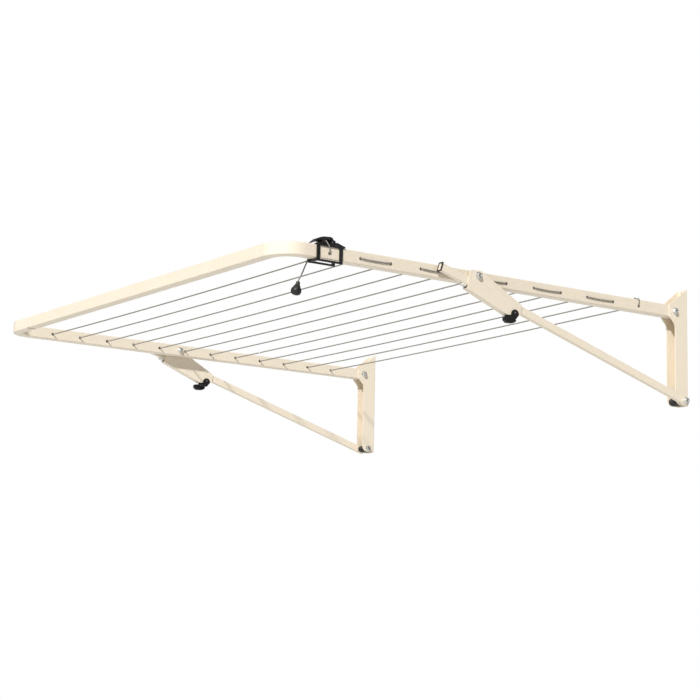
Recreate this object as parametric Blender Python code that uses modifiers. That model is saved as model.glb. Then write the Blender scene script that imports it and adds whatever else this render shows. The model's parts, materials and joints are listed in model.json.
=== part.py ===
"""Wall-mounted fold-down clothesline.

Two sheet-steel wall brackets carry a rectangular tube frame that hinges down flat against the wall.
Each arm is propped by a flat strut that slides through a pivoting sleeve with a release lever.
One continuous line is woven through the arms and made fast in a tensioner on the right arm.

Frame: metres, +X along the wall, +Z up, the wall is the plane Y = 0 and the object stands out towards -Y.
The origin is on the wall, midway between the brackets, level with the frame's hinge pins.
"""

import math

import bmesh
import bpy
from mathutils import Matrix, Vector

# ---- driving dimensions -------------------------------------------------------------------
GAP = 0.0003                 # air left between touching pieces
SIDES = (("right", 1), ("left", -1))

# wall brackets
HALF_WIDTH = 0.750           # centre to a bracket's outer face
BRACKET_WIDTH = 0.0355
SHEET = 0.0025
BRACKET_TOP = 0.065
BRACKET_BOTTOM = -0.258
CHEEK_DEPTH = 0.0465
EAR_DEPTH = 0.067            # wall to the front of the ear round the frame pivot
WALL_HOLE_RADIUS = 0.005
WALL_HOLE_HEIGHTS = (0.055, -0.075, -0.205)

# pivots, as (Y, Z)
FRAME_PIVOT = (-0.047, 0.0)
STRUT_PIVOT = (-0.026, -0.247)
SLEEVE_PIVOT = (-0.751, 0.0)
LEVER_PIVOT = (-0.632, -0.0805)
BOLT_RADIUS = 0.004
BOLT_BORE = 0.0043
BOLT_FLATS = 0.013
HEAD_HEIGHT = 0.0064
NUT_HEIGHT = 0.0080
FLANGE_RADIUS = 0.0092
FLANGE_THICK = 0.0016
THREAD_SHOWN = 0.003         # bolt end standing out of its nut

# frame tube
FRAME_REACH = 1.335          # wall to the front rail's outer face
TUBE_WIDTH = 0.029
TUBE_HEIGHT = 0.033
TUBE_CORNER = 0.003
TUBE_WALL = 0.0016
ARM_CLEARANCE = 0.00325      # bracket's outer face to the arm's outer face
ARM_END = -0.029
BEND_RADIUS = 0.075          # outside of the corner bends
SEAM_X = -0.600
SEAM_GAP = 0.002             # the two frame tubes stop short of each other over the joiner
SEAM_NOTCH = 0.008
JOINER_HALF = 0.045

# line
LINE_COUNT = 12
LINE_RADIUS = 0.00175
LINE_HOLE_RADIUS = 0.0040
LINE_FIRST = -1.1925         # Y of the outermost line
LINE_PITCH = 0.09213
LINE_HEIGHT = -0.0015
LINE_SAG = 0.004
LINE_SHIFT = 0.0012          # a loop pulls the line to the near edges of its holes
LOOP_SAG = 0.0012
TURN_RADIUS = 0.004

# struts and sleeves, right-hand side X values from inside to outside
SLEEVE_INNER = 0.7513
STRUT_INNER = 0.7543
STRUT_THICK = 0.013
STRUT_DEPTH = 0.021
STRUT_WALL = 0.0015
STRUT_BELOW_PIVOT = 0.012
STRUT_LENGTH = 0.8905
SLEEVE_OFFSET = 0.025        # sleeve pivot's height over the strut's centreline, square to it
SLEEVE_PLATE = 0.002
SPACER_RADIUS = 0.0075
SLEEVE_OUTER = 0.7703

# ---- derived dimensions -------------------------------------------------------------------
ARM_OUTER = HALF_WIDTH - ARM_CLEARANCE
ARM_INNER = ARM_OUTER - TUBE_WIDTH
ARM_CENTRE = ARM_OUTER - TUBE_WIDTH / 2
ARM_TOP = TUBE_HEIGHT / 2
RAIL_CENTRE = -FRAME_REACH + TUBE_WIDTH / 2
CHEEK_INNER = HALF_WIDTH - BRACKET_WIDTH
STRUT_OUTER = STRUT_INNER + STRUT_THICK
PIVOT_RUN = STRUT_PIVOT[0] - SLEEVE_PIVOT[0]
PIVOT_RISE = SLEEVE_PIVOT[1] - STRUT_PIVOT[1]
STRUT_ANGLE = (math.atan2(PIVOT_RISE, PIVOT_RUN)
               - math.asin(SLEEVE_OFFSET / math.hypot(PIVOT_RUN, PIVOT_RISE)))
LINE_YS = [LINE_FIRST + LINE_PITCH * index for index in range(LINE_COUNT)]

# local X, Y, Z of an outline or a turned part onto the world's Y, Z, X
SIDEWAYS = Matrix(((0, 0, 1), (1, 0, 0), (0, 1, 0))).to_4x4()


# ---- scene, collections, materials --------------------------------------------------------
def clear_scene():
    for leftover in list(bpy.data.objects):
        bpy.data.objects.remove(leftover, do_unlink=True)


def collection(name):
    made = bpy.data.collections.new(name)
    bpy.context.scene.collection.children.link(made)
    return made


def material(name, colour, roughness, metallic=0.0):
    made = bpy.data.materials.new(name)
    made.use_nodes = True
    made.diffuse_color = (*colour, 1)
    shader = made.node_tree.nodes["Principled BSDF"]
    shader.inputs["Base Color"].default_value = (*colour, 1)
    shader.inputs["Roughness"].default_value = roughness
    shader.inputs["Metallic"].default_value = metallic
    return made


clear_scene()
PARTS = collection("fold_down_clothesline")
CUTTERS = collection("cutters")
CREAM = material("cream_powder_coat", (0.80, 0.72, 0.58), 0.42)
ZINC = material("zinc_plated_steel", (0.62, 0.62, 0.60), 0.35, 1.0)
BLACK = material("black_plastic", (0.012, 0.012, 0.013), 0.45)
RUBBER = material("black_rubber", (0.02, 0.018, 0.017), 0.75)
LINE = material("line_vinyl", (0.70, 0.66, 0.58), 0.5)
NYLON = material("natural_nylon", (0.78, 0.77, 0.72), 0.5)


def empty(name, location, parent=None):
    made = bpy.data.objects.new(name, None)
    made.empty_display_size = 0.03
    PARTS.objects.link(made)
    made.location = Vector(location) - Vector(parent["world"] if parent else (0, 0, 0))
    made.parent = parent
    made["world"] = list(location)
    return made


def finish(piece, look, carrier=None):
    """Gives a piece its material and hangs it on the empty that carries it."""
    piece.data.materials.clear()
    piece.data.materials.append(look)
    if carrier:
        piece.parent = carrier
        piece.matrix_parent_inverse = Matrix.Translation(carrier["world"]).inverted()
    return piece


# ---- shape helpers ------------------------------------------------------------------------
def span(side, inside, outside):
    """Low and high X of a stretch that is given for the right-hand side."""
    return sorted((side * inside, side * outside))


def new_object(name, data, where=PARTS):
    made = bpy.data.objects.new(name, data)
    where.objects.link(made)
    return made


def object_from_bmesh(name, bm, where=PARTS):
    data = bpy.data.meshes.new(name)
    bm.to_mesh(data)
    bm.free()
    return new_object(name, data, where)


def block(name, low, high, where=PARTS, bevel=0.0):
    bm = bmesh.new()
    bmesh.ops.create_cube(bm, size=1)
    bmesh.ops.scale(bm, vec=Vector(high) - Vector(low), verts=bm.verts)
    if bevel:
        bmesh.ops.bevel(bm, geom=bm.edges[:], offset=bevel, segments=2, profile=0.5, affect="EDGES")
    made = object_from_bmesh(name, bm, where)
    made.location = (Vector(low) + Vector(high)) / 2
    return made


def smooth(piece, angle=35):
    piece.data.shade_smooth()
    piece.data.set_sharp_from_angle(angle=math.radians(angle))
    return piece


def rod(name, ends, centre, radius, where=PARTS, sides=16, turn=0.0):
    """A cylinder or prism along X between two X values, about a (Y, Z) centre."""
    bm = bmesh.new()
    bmesh.ops.create_cone(bm, cap_ends=True, segments=sides, radius1=radius, radius2=radius,
                          depth=ends[1] - ends[0], matrix=SIDEWAYS @ Matrix.Rotation(turn, 4, "Z"))
    made = object_from_bmesh(name, bm, where)
    made.location = ((ends[0] + ends[1]) / 2, *centre)
    return smooth(made)


def hexagon(name, ends, centre, where=PARTS):
    made = rod(name, ends, centre, BOLT_FLATS / math.sqrt(3), where, sides=6, turn=math.radians(14))
    made.data.shade_flat()
    return made


def turned(name, profile, closed, centre, turn=SIDEWAYS, sides=16):
    """A (radius, height) profile turned about its own axis, which lies along X unless turned."""
    count = len(profile)
    edges = [(index, (index + 1) % count) for index in range(count if closed else count - 1)]
    data = bpy.data.meshes.new(name)
    data.from_pydata([(radius, 0, height) for radius, height in profile], edges, [])
    made = new_object(name, data)
    made.matrix_world = Matrix.Translation(centre) @ turn
    screw = made.modifiers.new("turn", "SCREW")
    screw.steps = screw.render_steps = sides
    screw.use_merge_vertices = True
    screw.merge_threshold = 0.00005
    screw.use_smooth_shade = False
    return made


def ring(name, ends, centre, outer, inner, sides=16):
    half = (ends[1] - ends[0]) / 2
    profile = ((outer, half), (outer, -half), (inner, -half), (inner, half))
    return turned(name, profile, True, ((ends[0] + ends[1]) / 2, *centre), sides=sides)


def rounded(corners, steps=4):
    """An outline's points: each corner is (u, v, radius), and a radius of 0 stays sharp."""
    points = []
    for index, (u, v, radius) in enumerate(corners):
        here = Vector((u, v))
        before = (Vector(corners[index - 1][:2]) - here).normalized()
        after = (Vector(corners[(index + 1) % len(corners)][:2]) - here).normalized()
        if not radius:
            points.append(here)
            continue
        half = before.angle(after) / 2
        middle = here + (before + after).normalized() * (radius / math.sin(half))
        start = here + before * (radius / math.tan(half)) - middle
        sweep = -start.angle_signed(here + after * (radius / math.tan(half)) - middle)
        for step in range(steps + 1):
            points.append(middle + Matrix.Rotation(sweep * step / steps, 2) @ start)
    return points


def flat_outline(name, points):
    curve = bpy.data.curves.new(name, "CURVE")
    curve.dimensions = "2D"
    curve.fill_mode = "BOTH"
    spline = curve.splines.new("POLY")
    spline.points.add(len(points) - 1)
    for target, point in zip(spline.points, points):
        target.co = (point[0], point[1], 0, 1)
    spline.use_cyclic_u = True
    return curve


def as_mesh(piece, where=PARTS):
    """Swaps a curve object for a welded mesh object of the same name and place."""
    bpy.context.view_layer.update()
    graph = bpy.context.evaluated_depsgraph_get()
    data = bpy.data.meshes.new_from_object(piece.evaluated_get(graph))
    bm = bmesh.new()
    bm.from_mesh(data)
    bmesh.ops.remove_doubles(bm, verts=bm.verts, dist=0.00002)
    bmesh.ops.recalc_face_normals(bm, faces=bm.faces)
    bm.to_mesh(data)
    bm.free()
    name, place = piece.name, piece.matrix_world.copy()
    bpy.data.objects.remove(piece, do_unlink=True)
    made = new_object(name, data, where)
    made.matrix_world = place
    return made


def plate(name, points, ends, where=PARTS):
    """An outline in (Y, Z), extruded along X between two X values."""
    curve = flat_outline(name, points)
    curve.extrude = (ends[1] - ends[0]) / 2
    made = new_object(name, curve)
    made.matrix_world = Matrix.Translation(((ends[0] + ends[1]) / 2, 0, 0)) @ SIDEWAYS
    return as_mesh(made, where)


def cut(piece, *tools):
    return combine(piece, "DIFFERENCE", tools)


def join(piece, *tools):
    return combine(piece, "UNION", tools)


def combine(piece, operation, tools):
    for tool in tools:
        tool.hide_render = True
        tool.display_type = "WIRE"
        modifier = piece.modifiers.new(tool.name, "BOOLEAN")
        modifier.operation = operation
        modifier.object = tool
    return piece


def poly_curve(name, points):
    curve = bpy.data.curves.new(name, "CURVE")
    curve.dimensions = "3D"
    curve.twist_mode = "Z_UP"
    spline = curve.splines.new("POLY")
    spline.points.add(len(points) - 1)
    for target, point in zip(spline.points, points):
        target.co = (*point, 1)
    return curve


def cord(name, points, radius, look, carrier):
    curve = poly_curve(name, points)
    curve.bevel_depth = radius
    curve.bevel_resolution = 2
    curve.use_fill_caps = True
    return finish(new_object(name, curve), look, carrier)


def box_tube(name, points, width, height, corner, wall):
    """A rectangular tube along a path, its height upright, open at both ends."""
    corners = [(across * width / 2, up * height / 2, corner)
               for across, up in ((-1, -1), (1, -1), (1, 1), (-1, 1))]
    profile = new_object(name + "_section", flat_outline(name, rounded(corners, 2)), CUTTERS)
    profile.data.fill_mode = "NONE"
    curve = poly_curve(name, points)
    curve.bevel_mode = "OBJECT"
    curve.bevel_object = profile
    made = as_mesh(new_object(name, curve))
    bpy.data.objects.remove(profile, do_unlink=True)
    solidify = made.modifiers.new("wall", "SOLIDIFY")
    solidify.thickness = wall
    solidify.offset = -1
    solidify.use_even_offset = True
    return smooth(made)


def bolt(name, centre, seat, tip, look, carrier):
    """A flanged hex bolt along X: seat is the X that its flange bears on, tip that of its far end."""
    outward = 1 if seat > tip else -1
    crown = seat + outward * (FLANGE_THICK + HEAD_HEIGHT)
    shank = rod(name, sorted((seat + outward * FLANGE_THICK / 2, tip)), centre, BOLT_RADIUS)
    flange = rod(name + "_flange", sorted((seat, seat + outward * FLANGE_THICK)), centre, FLANGE_RADIUS,
                 CUTTERS)
    head = hexagon(name + "_head", sorted((seat + outward * FLANGE_THICK / 2, crown)), centre, CUTTERS)
    return finish(join(shank, flange, head), look, carrier)


def nut(name, centre, seat, outward, look, carrier):
    """A flanged hex nut whose flange bears on the X of its seat."""
    body = hexagon(name, sorted((seat + outward * FLANGE_THICK / 2, seat + outward * NUT_HEIGHT)), centre)
    flange = rod(name + "_flange", sorted((seat, seat + outward * FLANGE_THICK)), centre, FLANGE_RADIUS,
                 CUTTERS)
    bore = rod(name + "_bore", sorted((seat - outward * 0.01, seat + outward * 0.02)), centre,
               BOLT_BORE, CUTTERS)
    join(body, flange)
    return finish(cut(body, bore), look, carrier)


# ---- wall brackets ------------------------------------------------------------------------
def bracket_outline():
    """Side view of a bracket's cheek: an ear round the frame pivot over a plain channel."""
    return rounded(((0, BRACKET_TOP, 0), (-0.003, BRACKET_TOP, 0.001), (-EAR_DEPTH, 0.015, 0.006),
                    (-EAR_DEPTH, -0.0165, 0.010), (-CHEEK_DEPTH, -0.038, 0.018),
                    (-CHEEK_DEPTH, BRACKET_BOTTOM, 0.020), (0, BRACKET_BOTTOM, 0)))


def make_bracket(side_name, side):
    outer = span(side, CHEEK_INNER, HALF_WIDTH)
    inner = (outer[0] + SHEET, outer[1] - SHEET)
    body = plate("wall_bracket_" + side_name, bracket_outline(), outer)
    channel = block("bracket_channel_" + side_name, (inner[0], -0.2, -0.4), (inner[1], -SHEET, 0.2),
                    CUTTERS)
    bores = [rod(f"bracket_bore_{side_name}_{index}", (outer[0] - 0.01, outer[1] + 0.01), pivot,
                 BOLT_BORE, CUTTERS) for index, pivot in enumerate((FRAME_PIVOT, STRUT_PIVOT))]
    cut(body, channel, *bores)
    for index, height in enumerate(WALL_HOLE_HEIGHTS):
        hole = rod(f"wall_hole_{side_name}_{index}", (-0.01, 0.01), (0, 0), WALL_HOLE_RADIUS,
                   CUTTERS, sides=16)
        hole.rotation_euler = (0, 0, math.pi / 2)
        hole.location = ((outer[0] + outer[1]) / 2, -SHEET / 2, height)
        cut(body, hole)
    finish(body, CREAM, ROOT)


def make_bracket_hardware(side_name, side):
    seat = HALF_WIDTH + GAP
    back = CHEEK_INNER - GAP
    tip = back - NUT_HEIGHT - THREAD_SHOWN
    bolt("frame_pivot_bolt_" + side_name, FRAME_PIVOT, side * seat, side * tip, ZINC, ROOT)
    nut("frame_pivot_nut_" + side_name, FRAME_PIVOT, side * back, -side, ZINC, ROOT)
    # the strut pivot is the opened joint of the linkage, so its bolt is in two halves
    finish(rod("strut_pivot_pin_" + side_name, span(side, tip, HALF_WIDTH), STRUT_PIVOT, BOLT_RADIUS),
           ZINC, ROOT)
    nut("strut_pivot_nut_" + side_name, STRUT_PIVOT, side * back, -side, ZINC, ROOT)


def make_buffer(side_name, side):
    """Rubber block on the strut bolt between the cheeks: the folded arm lies against its nose."""
    nose = (-0.0318, -0.2468)
    radius = 0.0100
    back = -0.015
    corners = [(nose[0] + radius * math.cos(angle), nose[1] + radius * math.sin(angle))
               for angle in (math.radians(90 + 20 * step) for step in range(10))]
    corners += [(back, nose[1] - radius), (back, nose[1] + radius)]
    inner = span(side, CHEEK_INNER + SHEET + GAP, HALF_WIDTH - SHEET - GAP)
    body = plate("stop_buffer_" + side_name, corners, inner)
    cut(body, rod("buffer_bore_" + side_name, (inner[0] - 0.01, inner[1] + 0.01), STRUT_PIVOT,
                  BOLT_BORE, CUTTERS))
    finish(body, RUBBER, ROOT)


# ---- frame --------------------------------------------------------------------------------
def frame_path(side, far_end):
    """Centreline of one frame tube: arm, corner bend, front rail up to far_end."""
    radius = BEND_RADIUS - TUBE_WIDTH / 2
    middle = (side * (ARM_CENTRE - radius), RAIL_CENTRE + radius)
    points = [(side * ARM_CENTRE, ARM_END, 0)]
    for step in range(9):
        angle = math.radians(90) * step / 8
        points.append((middle[0] + side * radius * math.cos(angle),
                       middle[1] - radius * math.sin(angle), 0))
    return points + [(far_end, RAIL_CENTRE, 0)]


def make_frame_tube(side_name, side, far_end):
    tube = box_tube("frame_tube_" + side_name, frame_path(side, far_end), TUBE_WIDTH, TUBE_HEIGHT,
                    TUBE_CORNER, TUBE_WALL)
    ends = span(side, ARM_INNER - 0.01, ARM_OUTER + 0.01)
    for index, y in enumerate(LINE_YS):
        hole = rod(f"line_hole_{side_name}_{index + 1}", ends, (y, LINE_HEIGHT), LINE_HOLE_RADIUS,
                   CUTTERS, sides=8)
        cut(tube, hole)
    if far_end > SEAM_X:
        cut(tube, block("seam_notch", (SEAM_X - SEAM_GAP, RAIL_CENTRE - TUBE_WIDTH, -0.02),
                        (SEAM_X + SEAM_NOTCH, RAIL_CENTRE + TUBE_WIDTH, -0.0148), CUTTERS))
    cut(tube,
        rod("bush_bore_" + side_name, ends, FRAME_PIVOT, 0.0083, CUTTERS),
        rod("sleeve_bore_" + side_name, ends, SLEEVE_PIVOT, BOLT_BORE, CUTTERS))
    finish(tube, CREAM, FRAME)


def make_arm_fittings(side_name, side):
    bush = ring("pivot_bush_" + side_name, span(side, ARM_INNER - GAP, ARM_OUTER + GAP), FRAME_PIVOT,
                0.008, BOLT_BORE)
    finish(bush, NYLON, FRAME)
    inside = TUBE_WIDTH / 2 - TUBE_WALL - GAP
    tall = TUBE_HEIGHT / 2 - TUBE_WALL - GAP
    centre = side * ARM_CENTRE
    plug = block("arm_end_plug_" + side_name, (centre - inside, ARM_END - 0.006, -tall),
                 (centre + inside, ARM_END + 0.001, tall), bevel=0.0015)
    cap = block("arm_end_cap_" + side_name, (centre - TUBE_WIDTH / 2, ARM_END + GAP, -ARM_TOP),
                (centre + TUBE_WIDTH / 2, ARM_END + 0.003, ARM_TOP), CUTTERS, bevel=0.001)
    finish(join(plug, cap), BLACK, FRAME)


def make_joiner():
    """Short inner tube and rivets that hold the two frame tubes together at the seam."""
    path = [(SEAM_X - JOINER_HALF, RAIL_CENTRE, 0), (SEAM_X + JOINER_HALF, RAIL_CENTRE, 0)]
    clear = 2 * (TUBE_WALL + GAP)
    joiner = box_tube("frame_joiner", path, TUBE_WIDTH - clear, TUBE_HEIGHT - clear, 0.0016, 0.002)
    return finish(joiner, BLACK, FRAME)


def make_rivets():
    """Blind rivet heads on the rail's inner face, either side of the seam."""
    face = RAIL_CENTRE + TUBE_WIDTH / 2
    outward = Matrix.Rotation(math.radians(-90), 4, "X")
    profile = ((0.0, 0.0017), (0.0022, 0.0013), (0.0032, GAP), (0.0, GAP))
    for index, x in enumerate((SEAM_X - 0.025, SEAM_X + 0.025)):
        rivet = turned(f"joiner_rivet_{index + 1}", profile, False, (x, face, 0), outward, 16)
        finish(rivet, ZINC, FRAME)


# ---- clothes line -------------------------------------------------------------------------
OUT_X = ARM_OUTER + GAP + LINE_RADIUS + 0.0002     # centre of a loop lying on an arm's outer face
TURN_X = OUT_X - TURN_RADIUS
EYE = (-1.225, -0.0165)                            # the tensioner's guide eye, as (Y, Z)
SADDLE_INNER = ARM_INNER - GAP - 0.00295           # the tensioner's inner, outer and top faces
SADDLE_OUTER = ARM_OUTER + GAP + 0.00315
SADDLE_TOP = 0.020
EYE_X = SADDLE_INNER - LINE_RADIUS - 0.00035
OVER_X = SADDLE_OUTER + LINE_RADIUS + 0.00035
CLEAT_TOP = 0.0253                                 # the rib that lifts the line off the saddle
CLEAT_Y = -1.2085
OVER_Z = CLEAT_TOP + LINE_RADIUS + 0.00045
TAIL_TOP = (EYE_X, -1.233, -0.0160)


def turn_out(side, y, toward):
    """The quarter turn from a hole's axis onto the arm's outer face, towards +Y or -Y."""
    points = []
    for step in range(4):
        angle = math.radians(90) * step / 3
        points.append((side * (TURN_X + TURN_RADIUS * math.sin(angle)),
                       y + toward * TURN_RADIUS * (1 - math.cos(angle)), LINE_HEIGHT))
    return points


def line_loop(side, first, second):
    """The line passes out of one hole, along the arm's outer face and back in at the next."""
    first, second = first + LINE_SHIFT, second - LINE_SHIFT
    middle = [(side * OUT_X, (first + second) / 2, LINE_HEIGHT - LOOP_SAG)]
    if first < SLEEVE_PIVOT[0] < second:
        # this loop passes under the spacer on the sleeve's pivot bolt
        reach = SPACER_RADIUS + LINE_RADIUS + 2 * GAP
        middle = [(side * OUT_X, SLEEVE_PIVOT[0] + reach * across, SLEEVE_PIVOT[1] + reach * down)
                  for across, down in ((-3.2, -0.60), (-1.0, -0.92), (0.0, -1.08), (0.62, -0.96))]
    return turn_out(side, first, 1) + middle + turn_out(side, second, -1)[::-1]


def line_run(start, stop):
    """Inner points of one run across the frame, which hangs in a shallow curve."""
    points = []
    for step in range(1, 4):
        across = step / 4
        x, y, z = Vector(start).lerp(Vector(stop), across)
        points.append((x, y, z - LINE_SAG * 4 * across * (1 - across)))
    return points


def line_route():
    first = LINE_YS[0]
    # tail down the inner side, across the arm's top under the jaw, down the outer face
    points = [TAIL_TOP, (EYE_X, -1.2315, -0.010), (EYE_X, -1.2250, 0.006), (EYE_X, -1.2175, 0.0160),
              (EYE_X, -1.2120, 0.0240), (EYE_X + 0.0006, -1.2112, CLEAT_TOP + 0.0015),
              (SADDLE_INNER, -1.2100, OVER_Z), (EYE_X + 0.008, CLEAT_Y, OVER_Z),
              (OVER_X - 0.008, CLEAT_Y, OVER_Z), (SADDLE_OUTER, CLEAT_Y + 0.0002, OVER_Z),
              (OVER_X - 0.0006, CLEAT_Y + 0.0015, CLEAT_TOP + 0.0015), (OVER_X, -1.2054, 0.0250),
              (OVER_X, -1.1985, 0.0165), (OVER_X - 0.0006, -1.1950, 0.0105),
              (OVER_X - 0.0012, -1.1935, 0.0050), (OVER_X - 0.0035, first, LINE_HEIGHT + 0.0005),
              (ARM_OUTER - 0.002, first, LINE_HEIGHT), (ARM_INNER + 0.002, first, LINE_HEIGHT)]
    # inside again, down to the guide eye and off across the frame
    points += [(ARM_INNER - 0.003, first - 0.001, LINE_HEIGHT - 0.0005),
               (EYE_X, first - 0.0045, LINE_HEIGHT - 0.003),
               (EYE_X, -1.216, -0.0135), (EYE_X - 0.001, -1.2225, -0.016),
               (EYE_X - 0.004, EYE[0], EYE[1]), (EYE_X - 0.009, EYE[0] + 0.0012, EYE[1])]
    points += line_run(points[-1], (-TURN_X, first + LINE_SHIFT, LINE_HEIGHT))
    side = -1
    for index in range(LINE_COUNT - 1):
        here = LINE_YS[index + 1]
        there = here + (LINE_SHIFT if index < LINE_COUNT - 2 else 0)
        points += line_loop(side, LINE_YS[index], here)
        points += line_run((side * TURN_X, here - LINE_SHIFT, LINE_HEIGHT),
                           (-side * TURN_X, there, LINE_HEIGHT))
        side = -side
    # last hole on the right arm: up the outer face and over the top to a knot
    last = LINE_YS[-1]
    top = ARM_TOP + GAP + LINE_RADIUS + 0.0002
    points += [(TURN_X, last, LINE_HEIGHT), (OUT_X - 0.0012, last, LINE_HEIGHT + 0.0012),
               (OUT_X, last, LINE_HEIGHT + 0.004), (OUT_X, last, top - 0.004),
               (OUT_X - 0.0012, last, top - 0.0012), (OUT_X - 0.004, last, top),
               (ARM_CENTRE + 0.004 + 2 * GAP, last, top)]
    return points


def make_line():
    cord("clothes_line", line_route(), LINE_RADIUS, LINE, FRAME)
    knot = turned("line_end_knot", ((0, 0.004), (0.0026, 0.0032), (0.0038, 0.0012), (0.0038, -0.0012),
                                    (0.0026, -0.0032), (0, -0.004)), False,
                  (ARM_CENTRE, LINE_YS[-1], ARM_TOP + GAP + 0.0038), sides=12)
    finish(knot, LINE, FRAME)


# ---- tensioner ----------------------------------------------------------------------------
TENSIONER_FRONT = -1.2310
TENSIONER_BACK = -1.1555
TENSIONER_BAR = 0.009        # width of the bars round the side windows
JAW_PIVOT = (-1.1865, 0.0265)
JAW_BORE = 0.0018
JAW_CORE = (0.7183, 0.7464)
JAW_SKIN = (0.7506, 0.7540)


def make_tensioner():
    """Plastic saddle round the right arm: side windows, guide eye, and a hinged jaw on top."""
    low, high = -0.0243, SADDLE_TOP
    wrap = (ARM_INNER - GAP, ARM_OUTER + GAP)
    side_view = rounded(((TENSIONER_FRONT, low, 0.002), (TENSIONER_BACK, low, 0.002),
                         (TENSIONER_BACK, 0.0165, 0.0), (-1.148, 0.0165, 0.0), (-1.148, 0.0195, 0.001),
                         (-1.1750, 0.0279, 0.002), (-1.1750, high, 0.0), (TENSIONER_FRONT, high, 0.002)), 3)
    body = plate("tensioner_body", side_view, (SADDLE_INNER, SADDLE_OUTER))
    cut(body, block("tensioner_arm_space", (wrap[0], -1.4, low - 0.02), (wrap[1], -1.0, ARM_TOP + GAP),
                    CUTTERS))
    # rib under the line, ears that carry the jaw's pin, and the strap with the guide eye under the arm
    rib = block("line_rib", (SADDLE_INNER + GAP, -1.2105, 0.0190), (SADDLE_OUTER - GAP, -1.2045, CLEAT_TOP),
                CUTTERS)
    ears = [plate(f"jaw_ear_{index}", rounded(((-1.193, 0.018, 0), (-1.176, 0.018, 0), (-1.178, 0.032, 0.004),
                                                (-1.192, 0.032, 0.004)), 3), ends, CUTTERS)
            for index, ends in enumerate(((0.7147, 0.7180), (0.7467, 0.7500)))]
    strap = block("eye_strap", (0.7067, -1.2308, -0.0225), (0.7500, -1.2225, -0.0186), CUTTERS)
    lug = plate("eye_lug", rounded(((-1.2305, -0.0225, 0), (-1.2195, -0.0225, 0), (-1.2195, -0.0105, 0.005),
                                    (-1.2305, -0.0105, 0.005)), 4), (0.7065, 0.7092), CUTTERS)
    join(body, rib, *ears, strap, lug)
    window = block("tensioner_window", (0.7130, TENSIONER_FRONT + TENSIONER_BAR, low + 0.0048),
                   (0.7600, TENSIONER_BACK - TENSIONER_BAR, 0.0145), CUTTERS)
    cut(body, window, rod("eye_hole", (0.70, 0.7120), EYE, 0.0030, CUTTERS, sides=12),
        rod("jaw_pin_hole", (0.70, 0.76), JAW_PIVOT, JAW_BORE, CUTTERS, sides=12))
    finish(body, BLACK, FRAME)


def make_jaw():
    """Hinged hood of the tensioner, which closes over the line where it crosses the saddle."""
    core = rounded(((-1.2365, 0.0225, 0.0005), (-1.2220, 0.0346, 0.003), (-1.1890, 0.0397, 0.003),
                    (-1.1815, 0.0370, 0.005), (-1.1815, 0.0240, 0.002), (-1.1915, 0.0240, 0.002),
                    (-1.1925, 0.0298, 0.0), (-1.2200, 0.0292, 0.002), (-1.2345, 0.0220, 0.0005)), 3)
    jaw = plate("tensioner_jaw", core, JAW_CORE)
    # the outer skin stands over the line, with a cheek that comes down in front of it
    skin = rounded(((-1.2405, 0.0197, 0.0008), (-1.2377, 0.0251, 0.002), (-1.2321, 0.0301, 0.003),
                    (-1.2234, 0.0340, 0.003), (-1.2147, 0.0362, 0.003), (-1.1942, 0.0378, 0.003),
                    (-1.1880, 0.0340, 0.002), (-1.1880, 0.0300, 0.001), (-1.2108, 0.0300, 0.0),
                    (-1.2108, 0.0206, 0.0006), (-1.2170, 0.0206, 0.0006), (-1.2170, 0.0288, 0.0),
                    (-1.2345, 0.0240, 0.002)), 3)
    bridge = rounded(((-1.2342, 0.0250, 0.0), (-1.2222, 0.0334, 0.002), (-1.1965, 0.0365, 0.001),
                      (-1.1965, 0.0304, 0.0005), (-1.2180, 0.0304, 0.002), (-1.2335, 0.0245, 0.0)), 3)
    join(jaw, plate("jaw_skin", skin, JAW_SKIN, CUTTERS),
         plate("jaw_bridge", bridge, (JAW_CORE[1] - 0.001, JAW_SKIN[0] + 0.001), CUTTERS))
    cut(jaw, rod("jaw_bore", (0.70, 0.76), JAW_PIVOT, JAW_BORE, CUTTERS, sides=12))
    finish(jaw, BLACK, JAW)
    pin = rod("tensioner_pin", (0.7149, 0.7498), JAW_PIVOT, 0.0015, sides=12)
    finish(pin, ZINC, FRAME)


# ---- pull cord ----------------------------------------------------------------------------
TOGGLE_TOP = Vector((0.700, -1.250, -0.071))
TOGGLE_AXIS = Vector((-0.002, -0.007, -0.033)).normalized()


def make_pull_cord():
    """Free tail of the line with its toggle."""
    start = Vector(TAIL_TOP) - Vector((0, 0.0004, 0.0016))
    points = [start, start + Vector((-0.0006, -0.0022, -0.008)), Vector((0.7098, -1.2385, -0.034)),
              Vector((0.7062, -1.2433, -0.050)), Vector((0.7022, -1.2470, -0.0610)),
              TOGGLE_TOP - TOGGLE_AXIS * 0.005, TOGGLE_TOP - TOGGLE_AXIS * GAP]
    cord("pull_cord", points, LINE_RADIUS, LINE, TAIL)
    profile = ((0, 0), (0.0036, 0), (0.0048, -0.002), (0.0050, -0.006), (0.0085, -0.013), (0.0118, -0.019),
               (0.0130, -0.024), (0.0122, -0.029), (0.0085, -0.033), (0, -0.0345))
    tilt = Vector((0, 0, -1)).rotation_difference(TOGGLE_AXIS).to_matrix().to_4x4()
    finish(smooth_turned(turned("pull_toggle", profile, False, TOGGLE_TOP, tilt, 20)), BLACK, TAIL)


def smooth_turned(piece):
    piece.modifiers[0].use_smooth_shade = True
    return piece


# ---- struts -------------------------------------------------------------------------------
def along_strut(distance, above=0.0):
    """(Y, Z) of a point on the strut: its distance from the strut pivot, and its height over the line."""
    return (STRUT_PIVOT[0] - distance * math.cos(STRUT_ANGLE) + above * math.sin(STRUT_ANGLE),
            STRUT_PIVOT[1] + distance * math.sin(STRUT_ANGLE) + above * math.cos(STRUT_ANGLE))


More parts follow.
